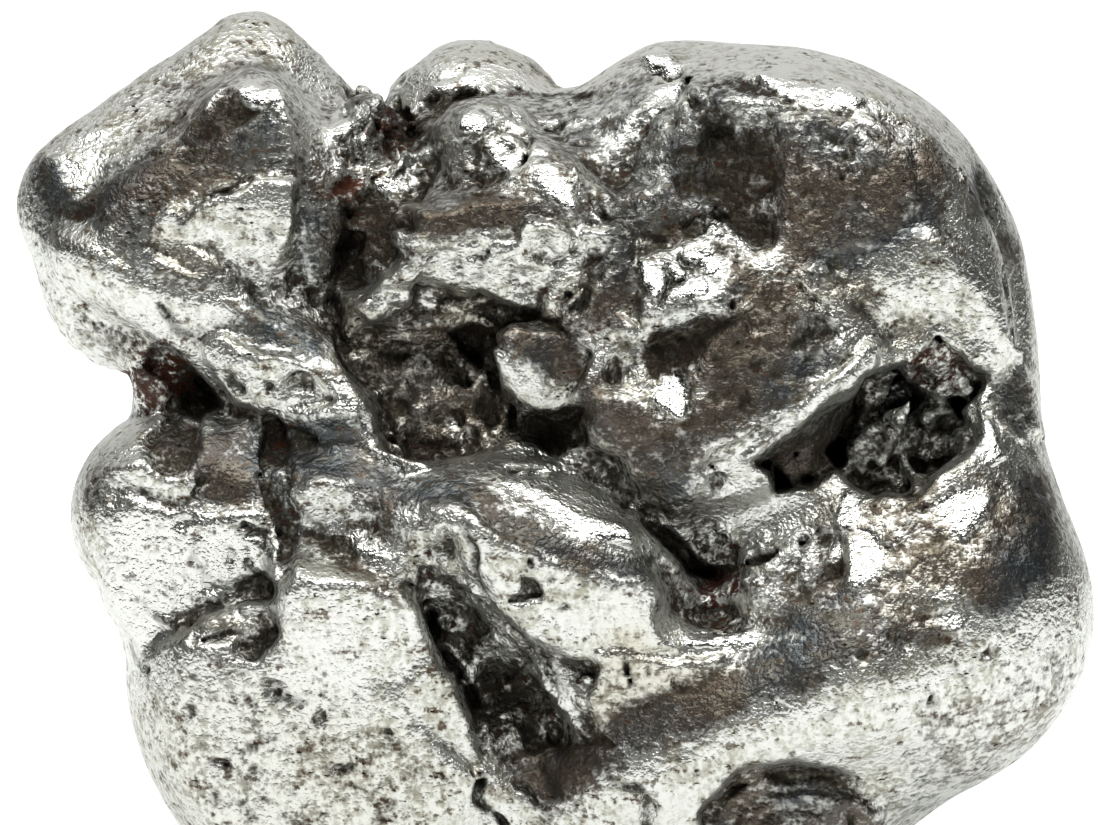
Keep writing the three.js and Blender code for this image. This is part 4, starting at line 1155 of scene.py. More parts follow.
streak((3.84, 6.48, 4.88, 6.08, 6, 6.24, 7.2, 6.88, 8.16, 7.76), 0.12, lean=(-24, 0), move=0.3)
crack((
    4, 6.28, 0.05, 0.02, 4.96, 5.92, 0.06, 0.03, 6.08, 6.08, 0.06, 0.03, 7.28, 6.72, 0.05, 0.02
), dark=0.6)
streak((3.84, 6.12, 4.88, 5.76, 6, 5.95, 7.2, 6.63, 8.16, 7.54), 0.12, lean=(-24, 0), move=0.3)
crack((
    4, 5.92, 0.05, 0.02, 4.96, 5.6, 0.06, 0.03, 6.08, 5.79, 0.06, 0.03, 7.28, 6.47, 0.05, 0.02
), dark=0.6)
streak((3.84, 5.8, 4.88, 5.47, 6, 5.7, 7.2, 6.4, 8.16, 7.35), 0.12, lean=(-24, 0), move=0.3)
crack((
    4, 5.6, 0.05, 0.02, 4.96, 5.31, 0.06, 0.03, 6.08, 5.54, 0.06, 0.03, 7.28, 6.24, 0.05, 0.02
), dark=0.6)
region((
    3.6, 5.1, 4.7, 5.6, 6, 5.6, 7.7, 6.6, 8.1, 6.2, 6.7, 4.9, 5.6, 4.1, 4.2, 3.8, 3.5, 4.4
), sink=0.2, soft=0.3, crags=0.18, tarnish=1, grit=0.8)
region((
    1.9, 5.4, 2.8, 6.1, 3.6, 5.9, 3.9, 5.1, 3.4, 3.9, 2.5, 3.4, 1.8, 4
), lean=(-22, -4), soft=0.2, move=0.35, crags=0.12, sand=0.06, tarnish=0.15)
knob(2.48, 3.84, (0.7, 0.7, 0.5), sink=0.35, blend=0.4)
pores(24, (2.72, 4.72), (1.04, 1.04), (0.05, 0.1))
gleam((
    4, 3.12, 4.56, 3.52, 4.96, 3.68, 5.52, 4.08, 5.6, 3, 5.52, 1.92, 5.04, 2.08, 4.56, 2.56
), sink=-0.05, move=2, crags=0.01)
crack((5.6, 4.2, 0.07, 0.04, 5.68, 3, 0.09, 0.05, 5.6, 1.68, 0.07, 0.03))
crack((6, 5, 0.08, 0.04, 6.8, 5.4, 0.1, 0.05, 8, 6.4, 0.08, 0.04))

# Dark slope under the scoop, brown hollow with a hole beside the light flank
print("shaping the dark slope")
region((
    6, 4.7, 7.7, 5.9, 7.9, 7.9, 10, 8.2, 10.5, 6.8, 10, 5.6, 11.2, 4.7, 11.9, 4.7, 10, 2.8,
    8.3, 1.6, 6.6, 1.1, 5.6, -0.1, 4, -0.1, 2, 1.1, 1.3, 2, 2, 3.2, 3.6, 3.1, 4.2, 2.3, 5.3, 1.8,
    5.8, 2.8
), lean=(6, 2), soft=0.35, move=0.4, crags=0.02, sand=0.06, tarnish=0.85, grit=0.35, warm=0.3)
region((
    7.6, 7.2, 9.6, 7.6, 10, 6, 9.2, 4.8, 8, 5.2
), soft=0.3, sand=0.05, tarnish=0.7, grit=0.2, warm=1)
region((10, 5, 11.7, 4.7, 10.5, 3.4, 8.8, 2.4, 8.4, 3, 9.7, 4), soft=0.3, tarnish=0.8, warm=-0.6)
region((
    3.6, 2, 5.6, 1.5, 5.6, 0, 6, -1.2, 5.2, -2.4, 4, -1.4, 3, 0.2
), lean=(8, 6), soft=0.3, move=0.35, crags=0.03, sand=0.06, tarnish=0.85, grit=0.35)
chips(12, (7.6, 4), (1.76, 1.6), (0.05, 0.1))
pores(44, (7.6, 4), (3.2, 2.8), (0.05, 0.12))
grains(14, (8, 4.8), (2, 2), (0.08, 0.17))
region((
    9.9, 7.1, 10.5, 7.7, 11.4, 8, 12.6, 7.6, 13.3, 6.3, 12.9, 5.2, 12, 4.7, 11.8, 6, 11, 6.3,
    10.2, 6.6
), soft=0.3, crags=0.05, sand=0.04, waver=0.35, tarnish=0.5, warm=0.9)
region((
    10.16, 7.52, 10.88, 7.84, 11.44, 7.36, 11.2, 6.72, 10.48, 6.96
), lean=(-14, -10), soft=0.14, move=0.35, tarnish=0.2, warm=1)
pit(10.68, 5.36, (0.65, 0.85, 0.6), sink=-0.05, blend=0.45, dark=1)
pit(11.52, 7.6, (0.3, 0.3, 0.25), dark=0.8, blend=0.3)
streak((
    10, 7.12, 10.32, 6.48, 11.04, 6.08, 11.36, 6.16
), 0.22, lean=(26, -10), soft=0.07, shine=0.3, warm=1)
knob(11.56, 6.56, (0.22, 0.24, 0.22), sink=-0.02, blend=0.08)
streak((11.44, 5.92, 11.68, 5.44, 11.84, 4.96), 0.22, lean=(28, 10), soft=0.06, shine=0.6)
crack((11.84, 6.32, 0.08, 0.03, 12.32, 5.92, 0.12, 0.06, 12.8, 5.2, 0.1, 0.04))
region((
    13, 9.2, 14.2, 9.7, 15.4, 9.5, 16.6, 8.3, 17.5, 6.7, 18, 5.2, 17.4, 4.7, 15.6, 5, 14.2, 5,
    13.3, 4.6, 12.9, 5.2, 13.2, 6.8, 12.7, 8.2
), lean=(-24, 16), soft=0.45, move=0.25, sand=0.03)
streak((
    15.04, 9.92, 14.08, 9.56, 12.96, 8.92, 11.84, 8.24, 10.48, 7.68
), 0.85, soft=0.3, tarnish=0.88, warm=-0.6)
streak((14.72, 10.8, 13.84, 10.08, 12.64, 9.28, 11.28, 8.56), 0.4, soft=0.2, tarnish=0.85, warm=1)
pores(44, (15.2, 7.2), (2, 2.2), (0.04, 0.08))
specks((
    13.6, 8.32, 0.1, 14.2, 7.6, 0.12, 15.2, 8, 0.1, 14.6, 6.8, 0.12, 15.6, 6.4, 0.12, 16, 7.2, 0.1,
    15, 5.8, 0.12, 16.4, 6, 0.1, 14, 6.2, 0.1, 13.4, 5.6, 0.14, 15.8, 5.4, 0.16, 17, 5.4, 0.12,
    13.2, 7.52, 0.1, 14, 8.8, 0.1, 16.48, 6.8, 0.08
), turn=35)
region((
    13.2, 5.52, 14.2, 6.08, 15.2, 5.6, 14.48, 4.96, 13.52, 4.8
), soft=0.15, crags=0.06, tarnish=0.4, warm=0.4)

# Ridge lines, slots and dark hollows down the right side
print("shaping the right side")
ridge((
    14, 14.32, 0.2, 0.14, 15.4, 13.2, 0.2, 0.14, 16.2, 11.92, 0.2, 0.14, 16.64, 9.8, 0.2, 0.14,
    17.4, 7.4, 0.2, 0.14, 18, 5.4, 0.2, 0.14, 18.72, 3.92, 0.2, 0.12, 19.6, 1.6, 0.16, 0.1
), blend=0.35)
streak((
    13.2, 14.8, 14.64, 13.92, 15.76, 12.88, 16.16, 11.6, 16.48, 9.92, 17.2, 7.92, 17.84, 5.92,
    18.16, 4.72
), 0.42, soft=0.1)
streak((
    12.88, 14.48, 13.84, 13.84, 14.72, 13.04, 15.28, 12.08, 15.52, 10.64, 16, 9.36
), 0.62, soft=0.14, tarnish=0.95, grit=0.2, warm=0.3)
streak((
    12.32, 14.88, 13.2, 14.32, 14, 13.68, 14.48, 12.88, 14.64, 12, 14.76, 11.2
), 0.2, lean=(29, 14), move=0.6, shine=0.9)
streak((
    12.88, 14.96, 14.24, 14.08, 15.36, 13.04, 15.92, 12, 16, 10.8, 16.48, 9.36, 17.12, 7.6,
    17.68, 5.76, 18.08, 4.8
), 0.22, soft=0.08, shine=0.3)
region((
    16.6, 12.2, 17.2, 11.8, 17.8, 10.8, 17.6, 9.8, 17.1, 9.2, 16.7, 10.2, 16.5, 11.3
), soft=0.14, tarnish=1, grit=0.8, warm=-0.4)
region((
    18.32, 10.08, 18.8, 9.76, 19.04, 8.8, 18.8, 8.24, 18.32, 8.32, 18.08, 9.2
), soft=0.12, tarnish=1, grit=0.8)
region((
    14.6, 13.2, 15.2, 13.2, 15.8, 12.4, 16, 10.8, 16.4, 9.4, 16, 9.2, 15.4, 10.3, 14.9, 11.6
), soft=0.16, tarnish=1, grit=0.4, warm=0.2)
crack((16.64, 11.2, 0.07, 0.03, 16.72, 10.6, 0.1, 0.06, 16.8, 10, 0.07, 0.03))
crack((
    18.08, 8.32, 0.08, 0.04, 18.16, 7.2, 0.14, 0.08, 18.32, 5.92, 0.18, 0.1, 18.48, 4.8, 0.14, 0.08,
    18.8, 4, 0.1, 0.04
))
knob(16.72, 10.88, (0.1, 0.16, 0.14), sink=-0.02, blend=0.05)
knob(16.8, 10.24, (0.1, 0.2, 0.14), sink=-0.02, blend=0.05)
knob(18.24, 9.52, (0.1, 0.18, 0.14), sink=-0.02, blend=0.05)
region((
    17.9, 4.3, 18.7, 3.9, 19.3, 2.6, 19.8, 1.2, 18.8, 1.2, 17.8, 2, 17.5, 3.1
), lean=(4, 34), soft=0.2, move=0.4, sand=0.03, tarnish=0.75, warm=0.4)
streak((18, 1.6, 18.72, 0.96, 19.36, 0.48), 0.24, lean=(-20, 30), soft=0.08, move=0.2)
crack((17.6, 12.48, 0.06, 0, 18.24, 11.68, 0.07, 0, 18.64, 10.96, 0.06, 0), dark=0.5)

# Diagonal ledge, the blue-black groove below it and the jagged hollow with its flakes
print("shaping the ledge")
region((
    11.7, 2.3, 12.3, 3.9, 13.4, 4.4, 14.2, 4.1, 15.2, 5, 16.5, 4.4, 17.4, 3.9, 17.1, 2.8, 17.5, 1.2,
    16.5, 0.3, 15.2, -0.5, 14, -1.3, 12.8, -0.9, 11.5, -0.3, 11.1, 0.8
), sink=0.85, soft=0.12, crags=0.35, tarnish=0.45, grit=0.4)
region((
    7.8, 0.2, 9.6, 1.4, 11.2, 2.6, 12, 3, 12, 2, 11.5, 0.6, 10.1, -0.5, 9, -0.9, 8.5, -0.2
), sink=0.65, soft=0.15, crags=0.12, tarnish=1, grit=0.6)
region((
    7.4, 1.1, 9.2, 2.1, 10.8, 3.1, 11.8, 4, 12.5, 4.8, 13.4, 4.8, 12.5, 3.8, 11.7, 3, 10, 1.8,
    8.6, 1, 6.9, -0.1, 6, -0.3, 6.5, 0.6
), lean=(-26, -6), sink=-0.2, soft=0.12, crags=0.03)
region((
    6, -0.3, 7.4, 0.5, 8.5, 0, 9, -0.9, 8.1, -1.3, 6.7, -0.9
), lean=(-22, -6), soft=0.1, move=0.4, crags=0.08)
crack((6.6, 0.2, 0.08, 0.02, 7, -0.4, 0.12, 0.04, 6.8, -0.88, 0.08, 0.02))
region((
    14.2, 4.2, 15.2, 5, 16, 4.7, 17, 3.4, 16.9, 3, 15.6, 3.1, 14.5, 3.4
), sink=-0.35, soft=0.1, crags=0.12, grit=0.6, rust=0.5)
region((
    13.2, 4.32, 14.08, 4.48, 14.2, 3.68, 13.52, 3.6
), lean=(-18, 0), sink=-0.5, soft=0.08, crags=0.06)
flake((
    11.52, 0.48, 12.32, 1.2, 13.4, 2.32, 14.2, 2.8, 13.92, 1.2, 13.12, -0.2, 12.72, 0.32, 11.68, 0
), (-12, -14), 0.25, lift=0.55)
flake((14.72, 1.2, 16, 1.52, 16.48, 0.6, 15.2, 0, 14.6, 0.32), (10, -8), 0.3, lift=0.3)
knob(13.12, 2.2, (0.3, 0.25, 0.3), sink=-0.05, blend=0.08)
knob(14.48, 2.48, (0.3, 0.25, 0.3), sink=-0.05, blend=0.08)
knob(15.2, 2.32, (0.3, 0.25, 0.3), sink=-0.05, blend=0.08)
knob(15.68, 2.36, (0.3, 0.25, 0.3), sink=-0.05, blend=0.08)
knob(16, 2.32, (0.3, 0.25, 0.3), sink=-0.05, blend=0.08)
knob(16.48, 2.32, (0.3, 0.25, 0.3), sink=-0.05, blend=0.08)
knob(13.8, 2, (0.3, 0.25, 0.3), sink=-0.05, blend=0.08)
gleam((
    16.6, 2.5, 17.6, 3.4, 17.7, 2.6, 17.2, 2.2, 18.1, 0.5, 17.6, 0.2, 17, 1.2
), (28, 8), sink=-0.25, soft=0.06, move=0.6, shine=0.8)
chips(16, (14.2, 2.2), (2.64, 1.76), (0.07, 0.17))
chips(8, (15.4, 3.92), (1.36, 0.56), (0.07, 0.14))
pores(16, (14, 1.2), (2.4, 1.6), (0.08, 0.16))
crack((13.2, 3.6, 0.12, 0.05, 14.2, 3.92, 0.14, 0.05, 14.6, 3.12, 0.14, 0.05))
crack((14.2, 4.08, 0.12, 0.05, 15.2, 4.96, 0.14, 0.05, 16.32, 4.48, 0.12, 0.05))

# V-shaped cleft with a bright step at its foot, and the torn ground right of it
print("shaping the cleft")
region((
    3.9, -1.7, 4.9, -2.5, 6.2, -3.7, 7.1, -4.2, 6.9, -4.9, 5.6, -4.2, 4.5, -3.1
), sink=0.7, soft=0.16, crags=0.08, tarnish=0.9, grit=0.95)
region((
    4.1, -3.4, 5.6, -4.6, 7.1, -5.2, 7.9, -6.2, 5.7, -6.3, 4.6, -5.5, 4.2, -4.4
), lean=(-4, 26), sink=0.15, soft=0.25, move=0.25, crags=0.02, sand=0.05, tarnish=0.5,
    grit=0.25, rust=0.2)
region((
    6.24, -4.24, 7.12, -4.56, 7.76, -5.44, 7.52, -6.08, 6.72, -5.68, 6.32, -5.12
), sink=0.2, soft=0.2, crags=0.05, waver=0.4, grit=0.4, rust=0.75)
gleam((
    5.68, -6.44, 6.8, -6.4, 8.24, -6.56, 8.08, -6.92, 6.8, -6.88, 5.76, -6.8
), (31, 0), sink=-0.2, soft=0.04, move=1.5)
region((5.52, -6.88, 8.08, -6.96, 7.92, -7.28, 6, -7.28), lean=(-8, 0), move=0.3, tarnish=0.4)
crack((5.6, -6.32, 0.08, 0.03, 6.8, -6.4, 0.12, 0.05, 8.08, -6.32, 0.08, 0.03))
region((
    5.6, -2.32, 6.48, -2, 7.4, -3, 7.28, -4.08, 6.2, -3.6
), lean=(-10, 0), soft=0.1, move=0.3, crags=0.06, sand=0.1, grit=0.3)
region((
    9.6, -3, 11, -0.3, 12.9, -1.1, 18, 0.1, 18.5, -3.6, 16.6, -4.8, 12.4, -4.9, 10, -5.4
), soft=0.3, sand=0.07, tarnish=0.62, grit=0.2, warm=0.8)
region((
    7.5, -3.6, 8.4, -3.1, 10, -2.2, 11.4, -2.6, 11.6, -4.2, 10, -5, 8.1, -5.4
), lean=(12, 0), soft=0.2, move=0.35, crags=0.03, sand=0.06, tarnish=0.5, grit=0.35)
chips(14, (9.2, -3.6), (1.6, 1.12), (0.06, 0.13))
chips(8, (6.8, -2.6), (0.64, 1.04), (0.07, 0.14))
pores(40, (14, -2.8), (4.4, 2.2), (0.06, 0.13))
chips(18, (14, -3.6), (4, 1.76), (0.05, 0.11))
chips(8, (9, -2.2), (1.04, 0.56), (0.07, 0.14))
crack((7.04, -4.2, 0.1, 0.03, 7.8, -3.68, 0.14, 0.06, 9, -3.12, 0.12, 0.04, 10, -2.48, 0.1, 0.02))
grains(14, (8.8, -3.8), (1.6, 1.2), (0.1, 0.2))
gleam((
    11.2, -0.56, 11.52, -0.4, 11.84, -1.12, 12.08, -1.92, 11.76, -2.48, 11.28, -2.24, 11.12, -1.36
), sink=-0.1)
gleam((
    11.6, -3.6, 12, -2.64, 12.72, -2, 13.2, -2.56, 13.36, -3.12, 12.72, -3.68, 11.84, -4.48,
    11.44, -4.32
), (30, 2), soft=0.07, move=1, crags=0.02)
gleam((
    11.12, -2.8, 11.52, -2.56, 11.44, -3.44, 11.04, -3.76
), (29, 0), soft=0.06, move=0.6, shine=0.8)
gleam((
    14.88, -1.52, 15.36, -0.88, 16, -0.64, 16.88, -0.8, 17.44, -1.2, 17.04, -1.76, 16.64, -2.4,
    16.16, -2.96, 15.76, -2.4, 15.2, -2
), (30, 6), soft=0.09, move=1, sand=0.03, shine=0.9)
chips(12, (16.4, -2.8), (0.96, 0.88), (0.07, 0.16))
region((
    13.04, -1.68, 14.2, -1.4, 14.88, -2.2, 15.36, -2.8, 14.2, -3, 13.52, -2.48
), lean=(20, 2), soft=0.2, move=0.3, crags=0.04, sand=0.05, tarnish=0.5)
chips(12, (14, -2.2), (1.12, 0.64), (0.06, 0.14))
gleam((
    14.88, -5.68, 15.52, -5.44, 16.08, -5.44, 16.24, -6, 15.76, -6.4, 15.2, -6.16
), (29, 4), soft=0.08, move=0.5, crags=0.04, tarnish=0.2, shine=0.7)
chips(8, (13.2, -4.8), (1.36, 0.48), (0.06, 0.12))
streak((17.92, -3.12, 18.24, -2.96, 18.48, -2.72), 0.2, lean=(28, 10), shine=0.7)

# Lower right bulge: dark keel over the worn underside, with the ringed hollow at its foot
print("shaping the lower right bulge")
region((
    18.4, 0.3, 19.6, 0.1, 20.4, -2, 20, -4, 18, -6.1, 17, -6, 16.8, -4.8, 17.6, -3.6, 18.4, -2
), soft=0.35, sand=0.03, tarnish=1, grit=0.2, warm=-0.2)
region((
    8.6, -5.4, 12, -4.6, 14.2, -5.2, 16.4, -6.2, 15.6, -7.1, 13.2, -7.4, 11.2, -7.8, 9.6, -7.8,
    8.2, -7.4
), soft=0.35, crags=0.01, sand=0.03, tarnish=0.75, grit=0.15, warm=-0.6)
pores(30, (12.4, -6.4), (3.6, 0.96), (0.05, 0.1))
region((
    12.8, -4.8, 15.2, -5.2, 15.6, -6.2, 14, -6.4, 12.7, -5.7
), soft=0.3, sand=0.03, tarnish=0.6, warm=1)
region((
    1.6, -13.2, 3.8, -11.4, 6.1, -10.6, 8.5, -9.4, 10.1, -8.9, 12.4, -7.4, 15.6, -7.6, 18, -6.3,
    19.7, -4.7, 21, -3.6, 21.6, -5.2, 21.4, -7.6, 19.6, -10.8, 17.2, -13.2, 16, -14.4, 13.6, -14.4,
    12.4, -12.8, 10, -11.7, 7.6, -11.9, 6, -13.2, 5.6, -14.4, 1.6, -14.4, 0.4, -13.7
), soft=0.25, crags=0, sand=0.015)
region((
    15.2, -9.2, 18.4, -7.6, 20.4, -6.8, 21.2, -7.6, 19.6, -11.2, 17.2, -13.6, 14, -14.8,
    13.2, -13.2
), soft=0.6, sand=0.015, tarnish=0.34)
pores(80, (14, -10), (6, 2.8), (0.03, 0.07))
specks((
    17.28, -7.2, 0.32, 18.2, -9.6, 0.24, 18.8, -6.4, 0.16, 16.4, -8.8, 0.12, 17.6, -8.4, 0.1,
    15.6, -7.6, 0.12, 14, -9.2, 0.12, 12.8, -8.8, 0.1, 19.6, -6.8, 0.2, 20, -5.2, 0.12,
    18.4, -11.6, 0.24, 17.2, -12.4, 0.16, 15.2, -12.4, 0.1, 14.2, -10.8, 0.12, 6, -12, 0.12,
    4.4, -11, 0.2, 5.6, -11, 0.24, 6.8, -11, 0.12, 4.2, -13.2, 0.24
), turn=25, dark=0.6)
crack((
    15, -9.8, 0.06, 0, 14.8, -9.2, 0.07, 0, 15.4, -8.88, 0.06, 0, 16.2, -9.2, 0.07, 0,
    16.48, -9.8, 0.07, 0, 16.08, -10.48, 0.06, 0, 15.6, -10.72, 0.09, 0
), dark=0.5)
crack((21.2, -8, 0.12, 0, 20.72, -8.8, 0.14, 0.02, 20.2, -9.4, 0.1, 0))
region((
    6, -13.4, 7.4, -12.2, 9.8, -11.7, 12, -12.4, 13.2, -13.7, 13.4, -14.8, 5.6, -14.8
), lean=(-2, 0), sink=0.25, soft=0.15, move=0.6, crags=0.03, tarnish=0.75)
for line in (
    (
        12.9, -14.29, 0.14, 0.02, 12.5, -13.48, 0.14, 0.02, 11.75, -12.82, 0.14, 0.02,
        10.74, -12.39, 0.14, 0.02, 9.6, -12.24, 0.14, 0.02, 8.46, -12.39, 0.14, 0.02,
        7.45, -12.82, 0.14, 0.02, 6.7, -13.48, 0.14, 0.02, 6.3, -14.29, 0.14, 0.02
    ),
    (
        11.94, -14.42, 0.14, 0.02, 11.66, -13.84, 0.14, 0.02, 11.13, -13.37, 0.14, 0.02,
        10.41, -13.07, 0.14, 0.02, 9.6, -12.96, 0.14, 0.02, 8.79, -13.07, 0.14, 0.02,
        8.07, -13.37, 0.14, 0.02, 7.54, -13.84, 0.14, 0.02, 7.26, -14.42, 0.14, 0.02
    ),
    (
        10.98, -14.54, 0.12, 0.02, 10.82, -14.2, 0.12, 0.02, 10.5, -13.92, 0.12, 0.02,
        10.08, -13.74, 0.12, 0.02, 9.6, -13.68, 0.12, 0.02, 9.12, -13.74, 0.12, 0.02,
        8.7, -13.92, 0.12, 0.02, 8.38, -14.2, 0.12, 0.02, 8.22, -14.54, 0.12, 0.02
    ),
):
    crack(line, dark=0.7)
ridge((
    7.4, -13.68, 0.14, 0.05, 8.8, -13.12, 0.16, 0.06, 10.8, -13.2, 0.16, 0.06,
    12, -13.8, 0.12, 0.05
), blend=0.15)
region((
    3.28, -12.2, 4, -12.8, 4.48, -13.2, 4.2, -14.2, 3.6, -14.32, 3.8, -13.4
), sink=0.2, soft=0.06, crags=0.06, grit=0.5)
crack((2.6, -12.2, 0.06, 0, 3.2, -12.48, 0.1, 0.02, 3.8, -12.8, 0.1, 0.02, 3.6, -12.32, 0.06, 0))

# Lower left lobe: scattered long pits
print("shaping the lower left lobe")
region((
    -17.2, -8.8, -14, -8, -10, -8.8, -5.2, -10, -4, -12.4, -5.2, -14.8, -14, -14.8, -16, -12.8
), soft=0.8, sand=0.03, tarnish=0.2, grit=0.15, warm=0.2)
pores(70, (-10.4, -11.6), (6, 2.8), (0.04, 0.09))
specks((
    -9.52, -5.2, 0.1, -8.8, -7.2, 0.12, -14.6, -10.52, 0.14, -13.4, -10.32, 0.12,
    -12.4, -11.2, 0.12, -11.52, -11, 0.12, -9.8, -10.88, 0.12, -8.2, -12, 0.14, -11.4, -12, 0.18,
    -12.88, -12, 0.16, -14, -8.8, 0.12, -10.8, -8.72, 0.12, -8.8, -10, 0.1, -6.8, -10.6, 0.12,
    -6, -11.12, 0.12, -5.4, -11.8, 0.12, -13, -13.2, 0.12, -14.8, -11.8, 0.12, -7.6, -12.8, 0.14,
    -4.4, -12.2, 0.12, -10, -14, 0.12, -11.2, -13.2, 0.14, -6.4, -13.2, 0.12, -8, -8.8, 0.1,
    -16, -9.2, 0.08, -4.4, -9.2, 0.08, -6.2, -7.6, 0.08, -12, -9.2, 0.12, -14.2, -9.4, 0.12,
    -10.6, -7.6, 0.08, -15.6, -10.8, 0.08, -13.6, -8, 0.1, -9.12, -9, 0.12, -7, -13.2, 0.1,
    -5.6, -10, 0.06, -8.4, -6, 0.06, -6.4, -6.8, 0.05, -10, -6.8, 0.05, -7.4, -6.8, 0.05,
    -12.8, -8.8, 0.1, -15, -8.4, 0.06
), shape=(2.2, 0.8, 1))
crack((-12, -11.8, 0.08, 0, -11.4, -12.32, 0.14, 0.03, -11, -13, 0.1, 0), dark=0.6)

# mm that each stain spreads past its outline
for kind, reach in {"tarnish": 0.25, "warm": 0.4, "rust": 0.25, "grit": 0.15}.items():
    paint[kind] = blurred(paint[kind][:, :, None], reach)[:, :, 0]

# What the sides and back carry: shallow thumbprints, pits and long grooves.
behind = {
    "prints": 46,
    "printSize": (1.2, 3.0),  # mm
    "pits": 260,
    "pitSize": (0.07, 0.26),  # mm
    "uneven": 0.22,  # mm
    # the film behind also carries painted shade in its hollows
    "filmAndShade": 0.95,  # the darkest that the film gets, from 0 to 1
    "start": -1.6,  # mm, where the front ends
    "seed": 12,
}
print("marking the sides and back")
dice = random.Random(behind["seed"])
deep = np.clip((behind["start"] - axes[2]) / 3, 0, 1).astype(np.float32)
field += behind["uneven"] * deep * (torn * 0.6 + 0.5 * folds["broad"] - 0.4)
startLayer = int((behind["start"] - axes[2][0]) / voxel)
spots = np.argwhere(np.abs(field[:, :, :startLayer]) < voxel / 2)
slopes = [np.roll(field, -1, n) - np.roll(field, 1, n) for n in range(3)]
for n in range(behind["prints"] + behind["pits"]):
    spot = tuple(spots[dice.randrange(len(spots))])
    center = np.array([axis[place] for axis, place in zip(axes, spot)])
    outward = np.array([float(slope[spot]) for slope in slopes])
    outward /= max(1e-6, float(np.linalg.norm(outward)))
    if n < behind["prints"]:
        size = dice.uniform(*behind["printSize"])
        center += outward * size * dice.uniform(0.8, 0.9)
        if center[2] < behind["start"] - 0.4 * size and sampled(field, center[None, :])[0] > 0.6:
            ball(tuple(center), (size, size, size), cut=True, blend=0.5, rough=0.06, waver=0.4)
    else:
        size = dice.uniform(*behind["pitSize"])
        turn = [dice.uniform(-90, 90) for k in range(3)]
        ball(tuple(center), (size * 2, size, size), turn, True, blend=0.12, rough=0.03, dark=0.8)
del slopes
for line in (
    (
        -12, 4, 0.1, 0.02, -9, 6, 0.16, 0.06, -6, 5, 0.2, 0.1, -3.5, 6.5, 0.14, 0.05,
        -1, 6, 0.08, 0.02
    ),
    (4, -8, 0.08, 0.02, 6, -5, 0.16, 0.06, 7, -2, 0.22, 0.1, 10, 0, 0.16, 0.06, 12, 3, 0.1, 0.02),
    (-8, -8, 0.1, 0.02, -6, -5.5, 0.18, 0.08, -3, -5, 0.14, 0.05, -1.5, -3, 0.08, 0.02),
    (3, 8, 0.08, 0.02, 6, 9, 0.14, 0.05, 9, 8, 0.18, 0.07, 12, 9, 0.1, 0.03),
    (-17, -3, 0.1, 0, -14, -1, 0.5, 0.1, -10, -2, 0.7, 0.2, -7, 0, 0.5, 0.1, -5, 1, 0.1, 0),
    (0, 1, 0.1, 0, 2, 3, 0.5, 0.15, 3, 6, 0.7, 0.2, 2, 9, 0.4, 0.1, 1, 11, 0.1, 0),
    (8, -11, 0.1, 0, 11, -8, 0.6, 0.15, 14, -6, 0.6, 0.15, 17, -2, 0.1, 0),
):
    crack(line, blend=0.3 + max(line[2::4]), dark=0.8, back=True)

# Sheltered ground stays torn and rough, open ground is worn smooth.
print("roughening the sheltered ground")
shelter = np.clip((blurred(np.clip(0.5 - field / voxel, 0, 1), 1.2) - 0.55) * 5, 0, 1)
shelter *= 1 - paint["shine"][:, :, None]
wear = sum(depth * grain[name] for name, depth in lump["wornDepth"].items())
field += shelter * lump["tornDepth"] * torn + (1 - shelter) * wear


# Flattens the underside on the floor and closes the surface.
def meshFromField():
    x, y, z = axes[0][:, None, None], axes[1][None, :, None], axes[2][None, None, :]
    under = -(y * math.cos(lean) + z * math.sin(lean) + lump["standHeight"])
    np.maximum(field, under, out=field)
    edge = np.ones_like(field, bool)
    edge[1:-1, 1:-1, 1:-1] = False
    field[edge] = lump["band"] * voxel
    grid = openvdb.FloatGrid(lump["band"] * voxel)
    grid.copyFromArray(field)
    points, quads = grid.convertToQuads(0.0)
    return (points + gridStart) * voxel, quads


print("closing the surface")
points, quads = meshFromField()
mesh = bpy.data.meshes.new("meteorite_surface")
mesh.from_pydata(moved(points, faceToWorld).tolist(), [], quads.tolist())
surface = bpy.data.objects.new("meteorite_surface", mesh)
bpy.context.scene.collection.objects.link(surface)
turned = bmesh.new()
turned.from_mesh(mesh)
if turned.calc_volume(signed=True) < 0:
    bmesh.ops.reverse_faces(turned, faces=turned.faces)
turned.to_mesh(mesh)
turned.free()

# fewer triangles where the surface is plain
share = lump["triangles"] / (2 * len(mesh.polygons))
if share < 1:
    fewer = surface.modifiers.new("fewer", "DECIMATE")
    fewer.ratio = share
    bpy.context.view_layer.objects.active = surface
    surface.select_set(True)
    bpy.ops.object.modifier_apply(modifier=fewer.name)
print("triangles", sum(len(p.vertices) - 2 for p in mesh.polygons))
mesh.shade_smooth()

# Marks on the points that the finish reads: hollows, which it darkens as painted shade, bare edges,
# stains, and the film behind with painted shade in its hollows.
print("reading hollows and stains")
ends = np.empty(len(mesh.vertices) * 3, np.float32)
mesh.vertices.foreach_get("co", ends)
ends = moved(ends.reshape(-1, 3), worldToFace)
solidShare = np.clip(0.5 - field / voxel, 0, 1)
near = blurred(solidShare, 0.35)
wide = blurred(near, 1.3)
hollows = {
    "crevice": np.clip((sampled(near, ends) - 0.5) * 4, 0, 1),
    "cleft": np.clip((sampled(wide, ends) - 0.5) * 4, 0, 1),
    "edge": np.clip((0.5 - sampled(near, ends)) * 4, 0, 1),
}
del near, wide, solidShare

